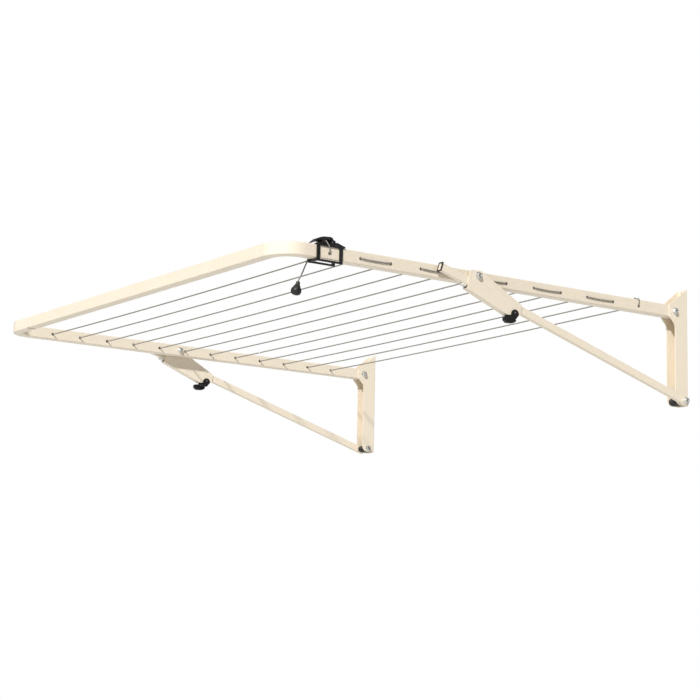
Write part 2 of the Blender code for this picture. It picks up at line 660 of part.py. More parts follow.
def strut_block(name, ends, start, stop, half_depth, where=PARTS):
    """A box square to the strut: between two X values and two distances along it."""
    made = block(name, (ends[0], -(stop - start) / 2, -half_depth), (ends[1], (stop - start) / 2, half_depth),
                 where)
    made.location = (made.location[0], *along_strut((start + stop) / 2))
    made.rotation_euler = (-STRUT_ANGLE, 0, 0)
    return made


def make_strut(side_name, side, carrier):
    x = side * (STRUT_INNER + STRUT_OUTER) / 2
    top = STRUT_LENGTH - STRUT_BELOW_PIVOT
    path = [(x, *along_strut(-STRUT_BELOW_PIVOT)), (x, *along_strut(top))]
    tube = box_tube("strut_tube_" + side_name, path, STRUT_THICK, STRUT_DEPTH, 0.002, STRUT_WALL)
    ends = span(side, STRUT_INNER, STRUT_OUTER)
    cut(tube, rod("strut_bore_" + side_name, (ends[0] - 0.01, ends[1] + 0.01), STRUT_PIVOT, BOLT_BORE,
                  CUTTERS))
    finish(tube, CREAM, carrier)

    collar = strut_block("strut_end_cap_" + side_name, (ends[0] - 0.0015, ends[1] + 0.0015), top - 0.002,
                         top + 0.0015, STRUT_DEPTH / 2 + 0.0015)
    socket = strut_block("cap_socket_" + side_name, (ends[0] - GAP, ends[1] + GAP), top - 0.02, top + GAP,
                         STRUT_DEPTH / 2 + GAP, CUTTERS)
    mouth = strut_block("cap_mouth_" + side_name, (ends[0] + 0.0012, ends[1] - 0.0012), top - 0.03,
                        top + 0.02, STRUT_DEPTH / 2 - 0.0012, CUTTERS)
    finish(cut(collar, socket, mouth), BLACK, carrier)
    inset = STRUT_WALL + 2 * GAP
    plug = strut_block("strut_end_plug_" + side_name, (ends[0] + inset, ends[1] - inset), top - 0.010,
                       top - 0.001, STRUT_DEPTH / 2 - inset)
    finish(plug, CREAM, carrier)

    bolt("strut_pivot_bolt_" + side_name, STRUT_PIVOT, side * (STRUT_OUTER + GAP),
         side * (HALF_WIDTH + 2 * GAP), ZINC, carrier)
    spacer = ring("strut_spacer_" + side_name, span(side, HALF_WIDTH + 2 * GAP, STRUT_INNER - GAP),
                  STRUT_PIVOT, 0.009, BOLT_BORE)
    finish(spacer, NYLON, carrier)


# ---- sleeves and levers -------------------------------------------------------------------
SLEEVE_CORNERS = ((-0.777, 0.012, 0.006), (-0.742, 0.014, 0.006), (-0.607, -0.0585, 0.004),
                  (-0.612, -0.0850, 0.006), (-0.655, -0.0880, 0.004), (-0.786, -0.0365, 0.001))


def make_sleeve(side_name, side, carrier):
    """Channel of folded sheet that the strut slides through, open at the top."""
    outer = span(side, SLEEVE_INNER, SLEEVE_OUTER)
    inner = (outer[0] + SLEEVE_PLATE, outer[1] - SLEEVE_PLATE)
    body = plate("sleeve_" + side_name, rounded(SLEEVE_CORNERS, 4), outer)
    slope = math.atan2(0.0515, 0.131)
    rise = SLEEVE_PLATE / math.cos(slope)
    hollow = ((-0.655, -0.0880 + rise), (-0.82, -0.0880 + rise + 0.165 * math.tan(slope)), (-0.82, 0.05),
              (-0.58, 0.05), (-0.58, -0.12), (-0.655, -0.12))
    channel = plate("sleeve_channel_" + side_name, hollow, inner, CUTTERS)
    ends = (outer[0] - 0.01, outer[1] + 0.01)
    cut(body, channel, rod("sleeve_pivot_bore_" + side_name, ends, SLEEVE_PIVOT, BOLT_BORE, CUTTERS),
        rod("lever_pin_bore_" + side_name, ends, LEVER_PIVOT, 0.0023, CUTTERS, sides=12))
    finish(body, CREAM, carrier)
    pin = rod("lever_pin_" + side_name, span(side, 0.7482, 0.7733), LEVER_PIVOT, 0.0020, sides=12)
    finish(pin, ZINC, carrier)

    inset = SLEEVE_PLATE + GAP
    guide = strut_block("strut_guide_" + side_name, (outer[0] + inset, outer[1] - inset), 0.792, 0.804,
                        0.0022)
    under = along_strut(0.798, -(STRUT_DEPTH / 2 + 2 * GAP + 0.0022))
    guide.location = (guide.location[0], *under)
    finish(guide, NYLON, carrier)


def make_sleeve_pivot(side_name, side):
    """Bolt through the arm, with a spacer that holds the sleeve clear of the line's loops."""
    seat = SLEEVE_OUTER + GAP
    back = ARM_INNER - GAP
    tip = back - NUT_HEIGHT - THREAD_SHOWN
    bolt("sleeve_pivot_bolt_" + side_name, SLEEVE_PIVOT, side * seat, side * tip, ZINC, FRAME)
    nut("sleeve_pivot_nut_" + side_name, SLEEVE_PIVOT, side * back, -side, ZINC, FRAME)
    finish(ring("arm_spacer_" + side_name, span(side, ARM_OUTER + GAP, SLEEVE_INNER - GAP), SLEEVE_PIVOT,
                SPACER_RADIUS, BOLT_BORE), NYLON, FRAME)
    finish(ring("sleeve_bush_" + side_name,
                span(side, SLEEVE_INNER + SLEEVE_PLATE + GAP, SLEEVE_OUTER - SLEEVE_PLATE - GAP),
                SLEEVE_PIVOT, 0.008, BOLT_BORE), ZINC, FRAME)


def make_lever(side_name, side, carrier):
    """Release lever: a fork either side of the sleeve, a finger tab and a latch nose."""
    head = (-0.632, -0.0845)
    radius = 0.012
    outline = [(head[0] + radius * math.cos(angle), head[1] + radius * math.sin(angle))
               for angle in (math.radians(-10 + 19 * step) for step in range(11))]
    outline += [tuple(point) for point in rounded(
        ((-0.6455, -0.0915, 0.003), (-0.6660, -0.0935, 0.002), (-0.6665, -0.1035, 0.003),
         (-0.6580, -0.1095, 0.004), (-0.6380, -0.1085, 0.005), (-0.6255, -0.1010, 0.003)), 3)]
    low, high = span(side, SLEEVE_INNER - GAP, SLEEVE_OUTER + GAP)
    body = plate("release_lever_" + side_name, outline, span(side, 0.7480, 0.7736))
    # the fork straddles the sleeve, and the finger tab is on the outer half only
    inner_half = span(side, 0.7470, 0.7630)
    cut(body, block("lever_slot_" + side_name, (low, -0.700, -0.0905), (high, -0.600, -0.060), CUTTERS),
        block("lever_tab_" + side_name, (inner_half[0], -0.700, -0.120), (inner_half[1], -0.654, -0.070),
              CUTTERS),
        block("lever_under_" + side_name, (inner_half[0], -0.700, -0.120), (inner_half[1], -0.600, -0.0985),
              CUTTERS))
    nose = plate("lever_nose_" + side_name,
                 rounded(((-0.6520, -0.0960, 0), (-0.6420, -0.0960, 0), (-0.6400, -0.0765, 0.001),
                          (-0.6500, -0.0735, 0.001)), 2),
                 span(side, SLEEVE_INNER + SLEEVE_PLATE + 2 * GAP, SLEEVE_OUTER - SLEEVE_PLATE - 2 * GAP),
                 CUTTERS)
    join(body, nose)
    cut(body, rod("lever_bore_" + side_name, span(side, 0.73, 0.79), LEVER_PIVOT, 0.0023, CUTTERS, sides=12))
    finish(body, BLACK, carrier)


# ---- assembly -----------------------------------------------------------------------------
ROOT = empty("wall_brackets", (0, 0, 0))
FRAME = empty("frame_hinge", (0, *FRAME_PIVOT), ROOT)
TAIL = empty("tail_hinge", TAIL_TOP, FRAME)
JAW = empty("jaw_hinge", (ARM_CENTRE, *JAW_PIVOT), FRAME)

make_frame_tube("right", 1, SEAM_X + SEAM_GAP / 2)
make_frame_tube("left", -1, SEAM_X - SEAM_GAP / 2)
make_joiner()
make_rivets()
make_line()
make_tensioner()
make_jaw()
make_pull_cord()
for label, sign in SIDES:
    swivel = empty("sleeve_hinge_" + label, (sign * STRUT_INNER, *SLEEVE_PIVOT), FRAME)
    slider = empty("strut_slide_" + label, (sign * STRUT_INNER, *STRUT_PIVOT), FRAME)
    catch = empty("lever_hinge_" + label, (sign * STRUT_INNER, *LEVER_PIVOT), FRAME)
    make_bracket(label, sign)
    make_bracket_hardware(label, sign)
    make_buffer(label, sign)
    make_arm_fittings(label, sign)
    make_sleeve_pivot(label, sign)
    make_sleeve(label, sign, swivel)
    make_strut(label, sign, slider)
    make_lever(label, sign, catch)
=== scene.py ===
"""Finished look of a wall-mounted fold-down clothesline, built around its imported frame.

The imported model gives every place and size. The frame tubes, struts, line and fasteners are made
afresh with Geometry Nodes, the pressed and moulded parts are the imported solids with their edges
rounded, and each piece gets a procedural finish and rides on its own body.
"""

import json
import math

import bmesh
import bpy
from bpy.props import FloatProperty, FloatVectorProperty, IntProperty, PointerProperty
from bpy.types import Operator, Panel, PropertyGroup
from mathutils import Matrix, Vector

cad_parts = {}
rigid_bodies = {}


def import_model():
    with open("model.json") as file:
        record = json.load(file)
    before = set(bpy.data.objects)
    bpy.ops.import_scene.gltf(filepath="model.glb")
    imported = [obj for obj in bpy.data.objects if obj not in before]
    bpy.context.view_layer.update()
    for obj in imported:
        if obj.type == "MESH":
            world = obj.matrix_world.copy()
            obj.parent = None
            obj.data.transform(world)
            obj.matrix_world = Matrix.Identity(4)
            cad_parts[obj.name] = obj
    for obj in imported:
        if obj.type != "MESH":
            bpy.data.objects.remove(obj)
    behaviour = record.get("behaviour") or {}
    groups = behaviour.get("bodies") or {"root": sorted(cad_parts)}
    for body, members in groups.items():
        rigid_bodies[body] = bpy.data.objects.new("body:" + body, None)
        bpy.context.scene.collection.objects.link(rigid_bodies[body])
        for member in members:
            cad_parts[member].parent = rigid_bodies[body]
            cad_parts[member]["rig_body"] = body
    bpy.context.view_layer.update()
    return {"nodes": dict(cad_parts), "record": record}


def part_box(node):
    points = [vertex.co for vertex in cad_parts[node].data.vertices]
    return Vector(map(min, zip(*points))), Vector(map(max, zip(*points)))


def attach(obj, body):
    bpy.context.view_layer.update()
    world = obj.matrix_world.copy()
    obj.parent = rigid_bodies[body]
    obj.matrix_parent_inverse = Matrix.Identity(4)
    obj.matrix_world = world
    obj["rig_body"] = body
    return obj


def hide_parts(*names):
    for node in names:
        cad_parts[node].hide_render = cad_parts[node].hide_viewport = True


bl_info = {
    "name": "Fold-down clothesline",
    "version": (1, 0, 0),
    "blender": (4, 5, 0),
    "location": "View3D > Sidebar > Clothesline",
    "description": "Builds the finished look of a wall-mounted fold-down clothesline",
    "category": "Object",
}

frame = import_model()

SIDES = (("right", 1), ("left", -1))


# ---- places read from the frame ----
def centre(node):
    low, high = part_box(node)
    return (low + high) / 2


def extent(node):
    low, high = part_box(node)
    return high - low


def both(stem):
    """Name, side, low corner and high corner of the right and the left piece of a pair."""
    return [(stem + name, side, *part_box(stem + name)) for name, side in SIDES]


ARM_LOW, ARM_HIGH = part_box("arm_end_plug_right")
TUBE_WIDTH = ARM_HIGH.x - ARM_LOW.x
TUBE_HEIGHT = ARM_HIGH.z - ARM_LOW.z
ARM_OUTER = ARM_HIGH.x
ARM_INNER = ARM_LOW.x
ARM_CENTRE = (ARM_INNER + ARM_OUTER) / 2
ARM_TOP = TUBE_HEIGHT / 2
TUBE_LOW, TUBE_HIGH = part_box("frame_tube_right")
RAIL_CENTRE = TUBE_LOW.y + TUBE_WIDTH / 2
FRAME_PIVOT = centre("frame_pivot_bolt_right").yz
STRUT_PIVOT = centre("strut_pivot_pin_right").yz
SLEEVE_PIVOT = centre("sleeve_pivot_bolt_right").yz

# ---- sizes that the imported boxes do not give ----
GAP = 0.0003                # clearance between pieces
TOUCH = 0.0002              # a point this near a face lies on it
TUBE_WALL = 0.0016
SHEET = 0.0025              # thickness of the brackets' sheet
SLEEVE_FOLD = 0.0022
SLEEVE_SLANT_Y = (-0.80, -0.655)   # reach of the sleeve's folded, slanted underside
SLEEVE_SLANT_TOP = -0.030
STRUT_DEPTH = 0.021
STRUT_WALL = 0.0015
STRUT_CORNER = 0.002
STRUT_END = 0.012           # from the lower pivot to the strut's end
TUBE_RIM = 0.0003           # rounding of the cut edges
STRUT_RIM = 0.00025
SLEEVE_OFFSET = 0.025       # from the sleeve's pivot to the strut's axis
SEAM_NOTCH_X = (-0.003, 0.007)     # from the seam along the rail
SEAM_NOTCH_Z = (-0.02, -0.0148)    # through the rail's underside

# fasteners
BUSH_BORE = 0.0083
BOLT_BORE = 0.0043
BOLT_RADIUS = 0.004
BOLT_HEAD = 0.008           # height of the head with its flange
TIP_CHAMFER = 0.0008
THREAD_LENGTH = 0.016
THREAD_ROW = 0.00025        # height of one row of the thread's mesh
FLANGE_RADIUS = 0.0092
FLANGE_THICK = 0.0016
FLANGE_EDGE = 0.0003
FLANGE_SLOPE = 0.0012
SPACER_RADIUS = 0.0075
HEX_ROWS = 6

# line: twelve runs woven through the arms
LINE_RADIUS = 0.00175
LINE_COUNT = 12
LINE_HOLE_RADIUS = 0.0040
LINE_FIRST = -1.1925
LINE_PITCH = 0.09213
LINE_HEIGHT = -0.0015
LINE_SHIFT = 0.0012         # how far the line leans to one side of its hole
LINE_LIFT = 0.0002          # how far it stands off a face that it lies on
LOOP_SAG = 0.0012
TURN_RADIUS = 0.004
LINE_YS = [LINE_FIRST + LINE_PITCH * index for index in range(LINE_COUNT)]
EYE = Vector((-1.225, -0.0165))    # Y and Z of the tensioner's guide eye


# ---- settings ----
def colour_property(name, description, default):
    return FloatVectorProperty(name=name, description=description, default=default, size=3,
                               min=0.0, max=1.0, subtype="COLOR")


def length_property(name, description, default):
    return FloatProperty(name=name, description=description, default=default, min=0.0,
                         unit="LENGTH", subtype="DISTANCE", precision=5)


def share_property(name, description, default):
    return FloatProperty(name=name, description=description, default=default, min=0.0, max=1.0,
                         subtype="FACTOR")


def number_property(name, description, default):
    return FloatProperty(name=name, description=description, default=default, min=0.0)


class CLOTHESLINE_PG_finish(PropertyGroup):
    paint: colour_property("Paint", "Colour of the powder coat", (0.88, 0.78, 0.63))
    paint_roughness: share_property("Paint roughness", "Gloss of the powder coat", 0.40)
    orange_peel: length_property("Orange peel", "Depth of the powder coat's fine waviness", 0.00006)
    edge_wear: share_property("Edge wear", "How far edges are rubbed", 0.25)
    dust: share_property("Dust", "Dust lying on upward faces", 0.10)
    zinc: colour_property("Zinc", "Colour of the plated fasteners", (0.82, 0.82, 0.80))
    plastic: colour_property("Black plastic", "Colour of the moulded parts", (0.006, 0.006, 0.006))
    rubber: colour_property("Rubber", "Colour of the stop buffers", (0.022, 0.020, 0.018))
    vinyl: colour_property("Line", "Colour of the vinyl line", (0.26, 0.245, 0.215))
    nylon: colour_property("Nylon", "Colour of bushes and spacers", (0.80, 0.79, 0.74))


class CLOTHESLINE_PG_shape(PropertyGroup):
    edge_radius: length_property("Edge radius", "Rounding of pressed and cut edges", 0.0005)
    fold_radius: length_property("Fold radius", "Outside radius where sheet steel is folded", 0.0032)
    tube_corner: length_property("Tube corner", "Corner radius of the frame tube", 0.003)
    bend_radius: length_property("Bend radius", "Outside radius of the frame's corner bends", 0.075)
    line_radius: length_property("Line radius", "Half the thickness of the line", LINE_RADIUS)
    line_sag: length_property("Line sag", "How far a run hangs at its middle", 0.004)
    flats: length_property("Across flats", "Width of the hexagon heads", 0.013)
    thread_pitch: length_property("Thread pitch", "Pitch of the bolts' threads", 0.00125)
    bend_steps: IntProperty(name="Bend steps", description="Segments round a corner bend",
                            default=24, min=4, max=64)


class CLOTHESLINE_PG_stage(PropertyGroup):
    floor_drop: length_property("Floor drop", "Height of the origin over the floor", 1.45)
    floor_size: length_property("Floor size", "Width of the floor", 14.0)
    sun_strength: number_property("Sun strength", "Strength of the key light", 3.35)
    fill_strength: number_property("Fill strength", "Strength of the soft light in front", 0.6)
    sky_top: number_property("Sky top", "Light from overhead", 0.24)
    sky_bottom: number_property("Sky bottom", "Light from below", 0.18)
    lens: number_property("Lens", "Focal length of the camera in millimetres", 104.0)


def finish_settings():
    return bpy.context.scene.clothesline_finish


def shape_settings():
    return bpy.context.scene.clothesline_shape


def stage_settings():
    return bpy.context.scene.clothesline_stage


# ---- node helpers ----
SOCKET_KINDS = {float: "Float", int: "Int", tuple: "Color"}
BUILT = {}


def feed(tree, node, inputs):
    """Links or sets the inputs of a node, given by name or number."""
    for key, value in inputs.items():
        if isinstance(value, bpy.types.NodeSocket):
            tree.links.new(value, node.inputs[key])
        else:
            node.inputs[key].default_value = value


def add_node(tree, kind, inputs=None, **settings):
    node = tree.nodes.new(kind)
    for name, value in settings.items():
        setattr(node, name, value)
    feed(tree, node, inputs or {})
    return node


def math_node(tree, operation, *values):
    return add_node(tree, "ShaderNodeMath", dict(enumerate(values)), operation=operation).outputs[0]


def product(tree, value, *others):
    for other in others:
        value = math_node(tree, "MULTIPLY", value, other)
    return value


def map_range(tree, value, low, high, to_low=0.0, to_high=1.0):
    return add_node(tree, "ShaderNodeMapRange", {
        "Value": value, "From Min": low, "From Max": high,
        "To Min": to_low, "To Max": to_high}).outputs[0]


def new_tree(name, kind, inputs, outputs):
    """A tree and its two ends. An input gives its default, or its kind where it has none."""
    tree = bpy.data.node_groups.new(name, kind + "NodeTree")
    for label, value in inputs.items():
        bare = isinstance(value, str)
        made = tree.interface.new_socket(label, in_out="INPUT", socket_type="NodeSocket" + (
            value if bare else SOCKET_KINDS[type(value)]))
        if not bare:
            made.default_value = value
    for label, socket in outputs.items():
        tree.interface.new_socket(label, in_out="OUTPUT", socket_type="NodeSocket" + socket)
    return tree, tree.nodes.new("NodeGroupInput").outputs, tree.nodes.new("NodeGroupOutput")


def built(maker):
    """The tree that maker builds, made the first time that it is asked for."""
    if maker not in BUILT:
        BUILT[maker] = maker()
    return BUILT[maker]


# ---- shared surface effects ----
def noise(tree, scale, detail, roughness=0.5):
    place = add_node(tree, "ShaderNodeTexCoord").outputs["Object"]
    return add_node(tree, "ShaderNodeTexNoise", {"Vector": place, "Scale": scale, "Detail": detail,
                                                 "Roughness": roughness}).outputs["Fac"]


def grain_group():
    """Fine surface texture: long soft waves with a finer grain on them, and a broad tone."""
    tree, given, out = new_tree("surface_grain", "Shader",
                                {"Wave scale": 420.0, "Grain scale": 2200.0, "Grain share": 0.3},
                                {"Height": "Float", "Tone": "Float"})
    wave = noise(tree, given["Wave scale"], 1.0)
    grain = noise(tree, given["Grain scale"], 2.0)
    mixed = add_node(tree, "ShaderNodeMix", {"Factor": given["Grain share"], 2: wave, 3: grain})
    feed(tree, out, {"Height": mixed.outputs[0], "Tone": noise(tree, 9.0, 3.0)})
    return tree


def tint_group():
    """A colour that drifts a little lighter and darker over the surface."""
    tree, given, out = new_tree("tone_drift", "Shader",
                                {"Colour": (0.8, 0.8, 0.8, 1), "Scale": 9.0, "Drift": 0.05},
                                {"Colour": "Color"})
    centred = math_node(tree, "SUBTRACT", noise(tree, given["Scale"], 3.0), 0.5)
    value = math_node(tree, "MULTIPLY_ADD", product(tree, centred, given["Drift"]), 2.0, 1.0)
    shift = add_node(tree, "ShaderNodeHueSaturation", {"Value": value, "Color": given["Colour"]})
    feed(tree, out, {"Colour": shift.outputs["Color"]})
    return tree


def wear_group():
    """Mask of rubbed edges: convex edges broken up by noise."""
    tree, given, out = new_tree("edge_wear", "Shader", {"Amount": 0.5, "Break up": 180.0},
                                {"Mask": "Float"})
    pointed = add_node(tree, "ShaderNodeNewGeometry").outputs["Pointiness"]
    edge = map_range(tree, pointed, 0.52, 0.62)
    broken = map_range(tree, noise(tree, given["Break up"], 4.0, 0.65), 0.38, 0.62)
    feed(tree, out, {"Mask": product(tree, edge, broken, given["Amount"])})
    return tree


def dust_group():
    """Mask of settled dust: faces that look up, in soft patches."""
    tree, given, out = new_tree("settled_dust", "Shader", {"Amount": 0.2, "Patch scale": 30.0},
                                {"Mask": "Float"})
    normal = add_node(tree, "ShaderNodeNewGeometry").outputs["Normal"]
    up = add_node(tree, "ShaderNodeSeparateXYZ", {"Vector": normal}).outputs["Z"]
    patch = noise(tree, given["Patch scale"], 4.0, 0.6)
    level = map_range(tree, up, 0.2, 0.95)
    feed(tree, out, {"Mask": product(tree, level, patch, given["Amount"])})
    return tree


# ---- materials ----
DUST = (0.62, 0.58, 0.50)


def effect(tree, maker, **inputs):
    """The outputs of a shared surface effect that is placed in a material."""
    named = {name.replace("_", " ").capitalize(): value for name, value in inputs.items()}
    return add_node(tree, "ShaderNodeGroup", named, node_tree=built(maker)).outputs


def laid_over(tree, under, over, mask):
    return add_node(tree, "ShaderNodeMix", {"Factor": mask, 6: under, 7: (*over, 1)},
                    data_type="RGBA").outputs[2]


def new_material(name):
    made = bpy.data.materials.new(name)
    made.use_nodes = True
    return made, made.node_tree, made.node_tree.nodes["Principled BSDF"]


def surface(name, colour, roughness, metallic=0.0, drift=0.04, wave=300.0, grain=2200.0,
            grain_share=0.6, depth=0.00004, worn=None, dust=0.0, swing=0.08):
    """One finish: drifting colour, worn edges, dust, uneven gloss and a fine bump."""
    made, tree, shader = new_material(name)
    made.diffuse_color = (*colour, 1)
    texture = effect(tree, grain_group, wave_scale=wave, grain_scale=grain, grain_share=grain_share)
    shown = effect(tree, tint_group, colour=(*colour, 1), drift=drift)["Colour"]
    if worn:
        mask = effect(tree, wear_group, amount=finish_settings().edge_wear)["Mask"]
        shown = laid_over(tree, shown, worn, mask)
    if dust:
        shown = laid_over(tree, shown, DUST, effect(tree, dust_group, amount=dust)["Mask"])
    gloss = map_range(tree, texture["Tone"], 0.3, 0.7, roughness - swing, roughness + swing)
    bump = add_node(tree, "ShaderNodeBump", {"Height": texture["Height"], "Strength": 1.0,
                                             "Distance": depth})
    feed(tree, shader, {"Base Color": shown, "Metallic": metallic, "Roughness": gloss,
                        "Normal": bump.outputs["Normal"]})
    return made


def make_materials():
    """One material for each slot of the record."""
    chosen = finish_settings()
    return {
        "cream_paint": surface("cream_powder_coat", chosen.paint, chosen.paint_roughness,
                               drift=0.018, wave=620.0, grain=2600.0, grain_share=0.2,
                               depth=chosen.orange_peel, dust=chosen.dust, swing=0.05,
                               worn=[channel * 0.80 for channel in chosen.paint]),
        "zinc": surface("zinc_plate", chosen.zinc, 0.34, metallic=1.0, drift=0.10, grain=3000.0,
                        worn=(0.85, 0.85, 0.83), swing=0.12),
        "black_plastic": surface("black_moulding", chosen.plastic, 0.50, drift=0.20, wave=900.0,
                                 grain=3600.0, grain_share=0.5, depth=0.00007,
                                 worn=(0.10, 0.10, 0.10), dust=chosen.dust, swing=0.06),
        "black_rubber": surface("black_rubber_finish", chosen.rubber, 0.72, drift=0.25,
                                grain=1800.0, depth=0.00010, worn=(0.07, 0.065, 0.06),
                                dust=2 * chosen.dust),
        "line_vinyl": surface("line_vinyl_finish", chosen.vinyl, 0.45, drift=0.05, wave=260.0,
                              grain=1500.0, grain_share=0.4, depth=0.00005, dust=chosen.dust),
        "nylon": surface("natural_nylon_finish", chosen.nylon, 0.48, drift=0.03, wave=500.0,
                         grain=2400.0, grain_share=0.4),
    }


SLOT_OF_NODE = {entry["node"]: entry["material_slot"] for entry in frame["record"]["subparts"]}
MATERIALS = {}


def material_for(node):
    if not MATERIALS:
        MATERIALS.update(make_materials())
    return MATERIALS[SLOT_OF_NODE[node]]


def paint(piece, node):
    piece.data.materials.clear()
    piece.data.materials.append(material_for(node))


# ---- mesh helpers ----
PACKED_WELD = 0.00002                # packed vertices this close are one
TURNED_WELD = 0.000005
AXIS_WELD = 0.00001
FLAT_ANGLE = math.radians(0.8)       # faces that meet at less are one flat face
FOLD_ANGLE = math.radians(20)        # and a fold turns by more than this


def new_object(name, data):
    made = bpy.data.objects.new(name, data)
    bpy.context.scene.collection.objects.link(made)
    return made


def polyline(name, points):
    """A curve object of one open poly spline, its width kept level."""
    curve = bpy.data.curves.new(name, "CURVE")
    curve.dimensions = "3D"
    curve.twist_mode = "Z_UP"
    spline = curve.splines.new("POLY")
    spline.points.add(len(points) - 1)
    for target, point in zip(spline.points, points):
        target.co = (*point, 1)
    return new_object(name, curve)


def add_nodes_modifier(piece, maker, values):
    """A Geometry Nodes modifier whose named inputs are set by their sockets' identifiers."""
    tree = built(maker)
    modifier = piece.modifiers.new(tree.name, "NODES")
    modifier.node_group = tree
    for item in tree.interface.items_tree:
        if item.item_type == "SOCKET" and item.in_out == "INPUT" and item.name in values:
            modifier[item.identifier] = values[item.name]


def settled(piece):
    """The piece with its modifiers worked into one plain mesh, and its place in its vertices."""
    bpy.context.view_layer.update()
    graph = bpy.context.evaluated_depsgraph_get()
    data = bpy.data.meshes.new_from_object(piece.evaluated_get(graph))
    data.transform(piece.matrix_world)
    name = piece.name
    bpy.data.objects.remove(piece, do_unlink=True)
    data.name = name
    return new_object(name, data)


def smooth_faces(piece, angle):
    piece.data.shade_smooth()
    piece.data.set_sharp_from_angle(angle=math.radians(angle))
    return piece


def modify(piece, name, kind, **settings):
    modifier = piece.modifiers.new(name, kind)
    for key, value in settings.items():
        setattr(modifier, key, value)


def ease_edges(piece, width, segments=3, angle=32):
    """Rounds the sharp edges and keeps flat faces flat in the shading."""
    piece.data.shade_smooth()
    modify(piece, "rounding", "BEVEL", width=width, segments=segments, limit_method="ANGLE",
           angle_limit=math.radians(angle), use_clamp_overlap=True)
    modify(piece, "flat_faces", "WEIGHTED_NORMAL", keep_sharp=True, weight=60)
    return settled(piece)


def welded_copy(node):
    """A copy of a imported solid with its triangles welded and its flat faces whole."""
    data = frame["nodes"][node].data.copy()
    data.materials.clear()
    bm = bmesh.new()
    bm.from_mesh(data)
    bmesh.ops.remove_doubles(bm, verts=bm.verts, dist=PACKED_WELD)
    bmesh.ops.dissolve_limit(bm, angle_limit=FLAT_ANGLE, verts=bm.verts, edges=bm.edges,
                             delimit={"NORMAL"})
    bm.to_mesh(data)
    bm.free()
    if data.has_custom_normals:
        data.attributes.remove(data.attributes["custom_normal"])
    return new_object(node + "_finished", data)


def round_folds(piece, chosen, radius, segments):
    """Rounds the edges that chosen(middle, direction) picks, as where sheet is folded."""
    bm = bmesh.new()
    bm.from_mesh(piece.data)
    edges = []
    for edge in bm.edges:
        start, end = (vertex.co for vertex in edge.verts)
        if edge.is_manifold and edge.calc_face_angle(0) > FOLD_ANGLE and chosen(
                (start + end) / 2, (end - start).normalized()):
            edges.append(edge)
    bmesh.ops.bevel(bm, geom=edges, offset=radius, segments=segments, profile=0.5,
                    affect="EDGES", clamp_overlap=True)
    bm.to_mesh(piece.data)
    bm.free()
    return piece


def stand_for(piece, node):
    """Gives a piece its finish and its body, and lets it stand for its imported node."""
    paint(piece, node)
    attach(piece, frame["nodes"][node]["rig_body"])
    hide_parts(node)
    return piece


# ---- geometry node trees ----
def new_shape_tree(name, inputs):
    return new_tree(name, "Geometry", {**inputs, "Finish": "Material"}, {"Geometry": "Geometry"})


def end_tree(tree, geometry, given, out):
    """Every shape tree ends in plain geometry with its material set."""
    real = add_node(tree, "GeometryNodeRealizeInstances", {"Geometry": geometry})
    painted = add_node(tree, "GeometryNodeSetMaterial",
                       {"Geometry": real.outputs[0], "Material": given["Finish"]})
    feed(tree, out, {"Geometry": painted.outputs[0]})
    return tree


def tube_tree():
    """Sweeps a rounded rectangle along a path."""
    tree, given, out = new_shape_tree("swept_tube", {
        "Path": "Geometry", "Width": 0.029, "Height": 0.033, "Corner": 0.003, "Corner steps": 5})
    section = add_node(tree, "GeometryNodeCurvePrimitiveQuadrilateral",
                       {"Width": given["Width"], "Height": given["Height"]})
    rounded = add_node(tree, "GeometryNodeFilletCurve",
                       {"Curve": section.outputs[0], "Radius": given["Corner"],
                        "Count": given["Corner steps"]}, mode="POLY")
    swept = add_node(tree, "GeometryNodeCurveToMesh",
                     {"Curve": given["Path"], "Profile Curve": rounded.outputs[0]})
    return end_tree(tree, swept.outputs[0], given, out)


def with_measure(tree, curve, measure):
    """The curve with its own Length or Factor kept on its points, and that value."""
    kept = add_node(tree, "GeometryNodeCaptureAttribute", {"Geometry": curve.outputs[0]},
                    domain="POINT")
    kept.capture_items.new("FLOAT", measure)
    spline = add_node(tree, "GeometryNodeSplineParameter")
    tree.links.new(spline.outputs[measure], kept.inputs[measure])
    return kept.outputs["Geometry"], kept.outputs[measure]


def line_tree():
    """Rounds the corners of a route and lays a cord along it, with its length in the UV map."""
    tree, given, out = new_shape_tree("laid_line", {
        "Route": "Geometry", "Radius": LINE_RADIUS, "Corner": 0.004, "Sides": 14})
    eased = add_node(tree, "GeometryNodeFilletCurve",
                     {"Curve": given["Route"], "Radius": given["Corner"], "Count": 4,
                      "Limit Radius": True}, mode="POLY")
    ring = add_node(tree, "GeometryNodeCurvePrimitiveCircle",
                    {"Resolution": given["Sides"], "Radius": given["Radius"]})
    along, length = with_measure(tree, eased, "Length")
    around, turn = with_measure(tree, ring, "Factor")
    laid = add_node(tree, "GeometryNodeCurveToMesh",
                    {"Curve": along, "Profile Curve": around, "Fill Caps": True})
    place = add_node(tree, "ShaderNodeCombineXYZ", {"X": length, "Y": turn})
    mapped = add_node(tree, "GeometryNodeStoreNamedAttribute",
                      {"Geometry": laid.outputs[0], "Name": "UVMap", "Value": place.outputs[0]},
                      data_type="FLOAT2", domain="CORNER")
    return end_tree(tree, mapped.outputs[0], given, out)


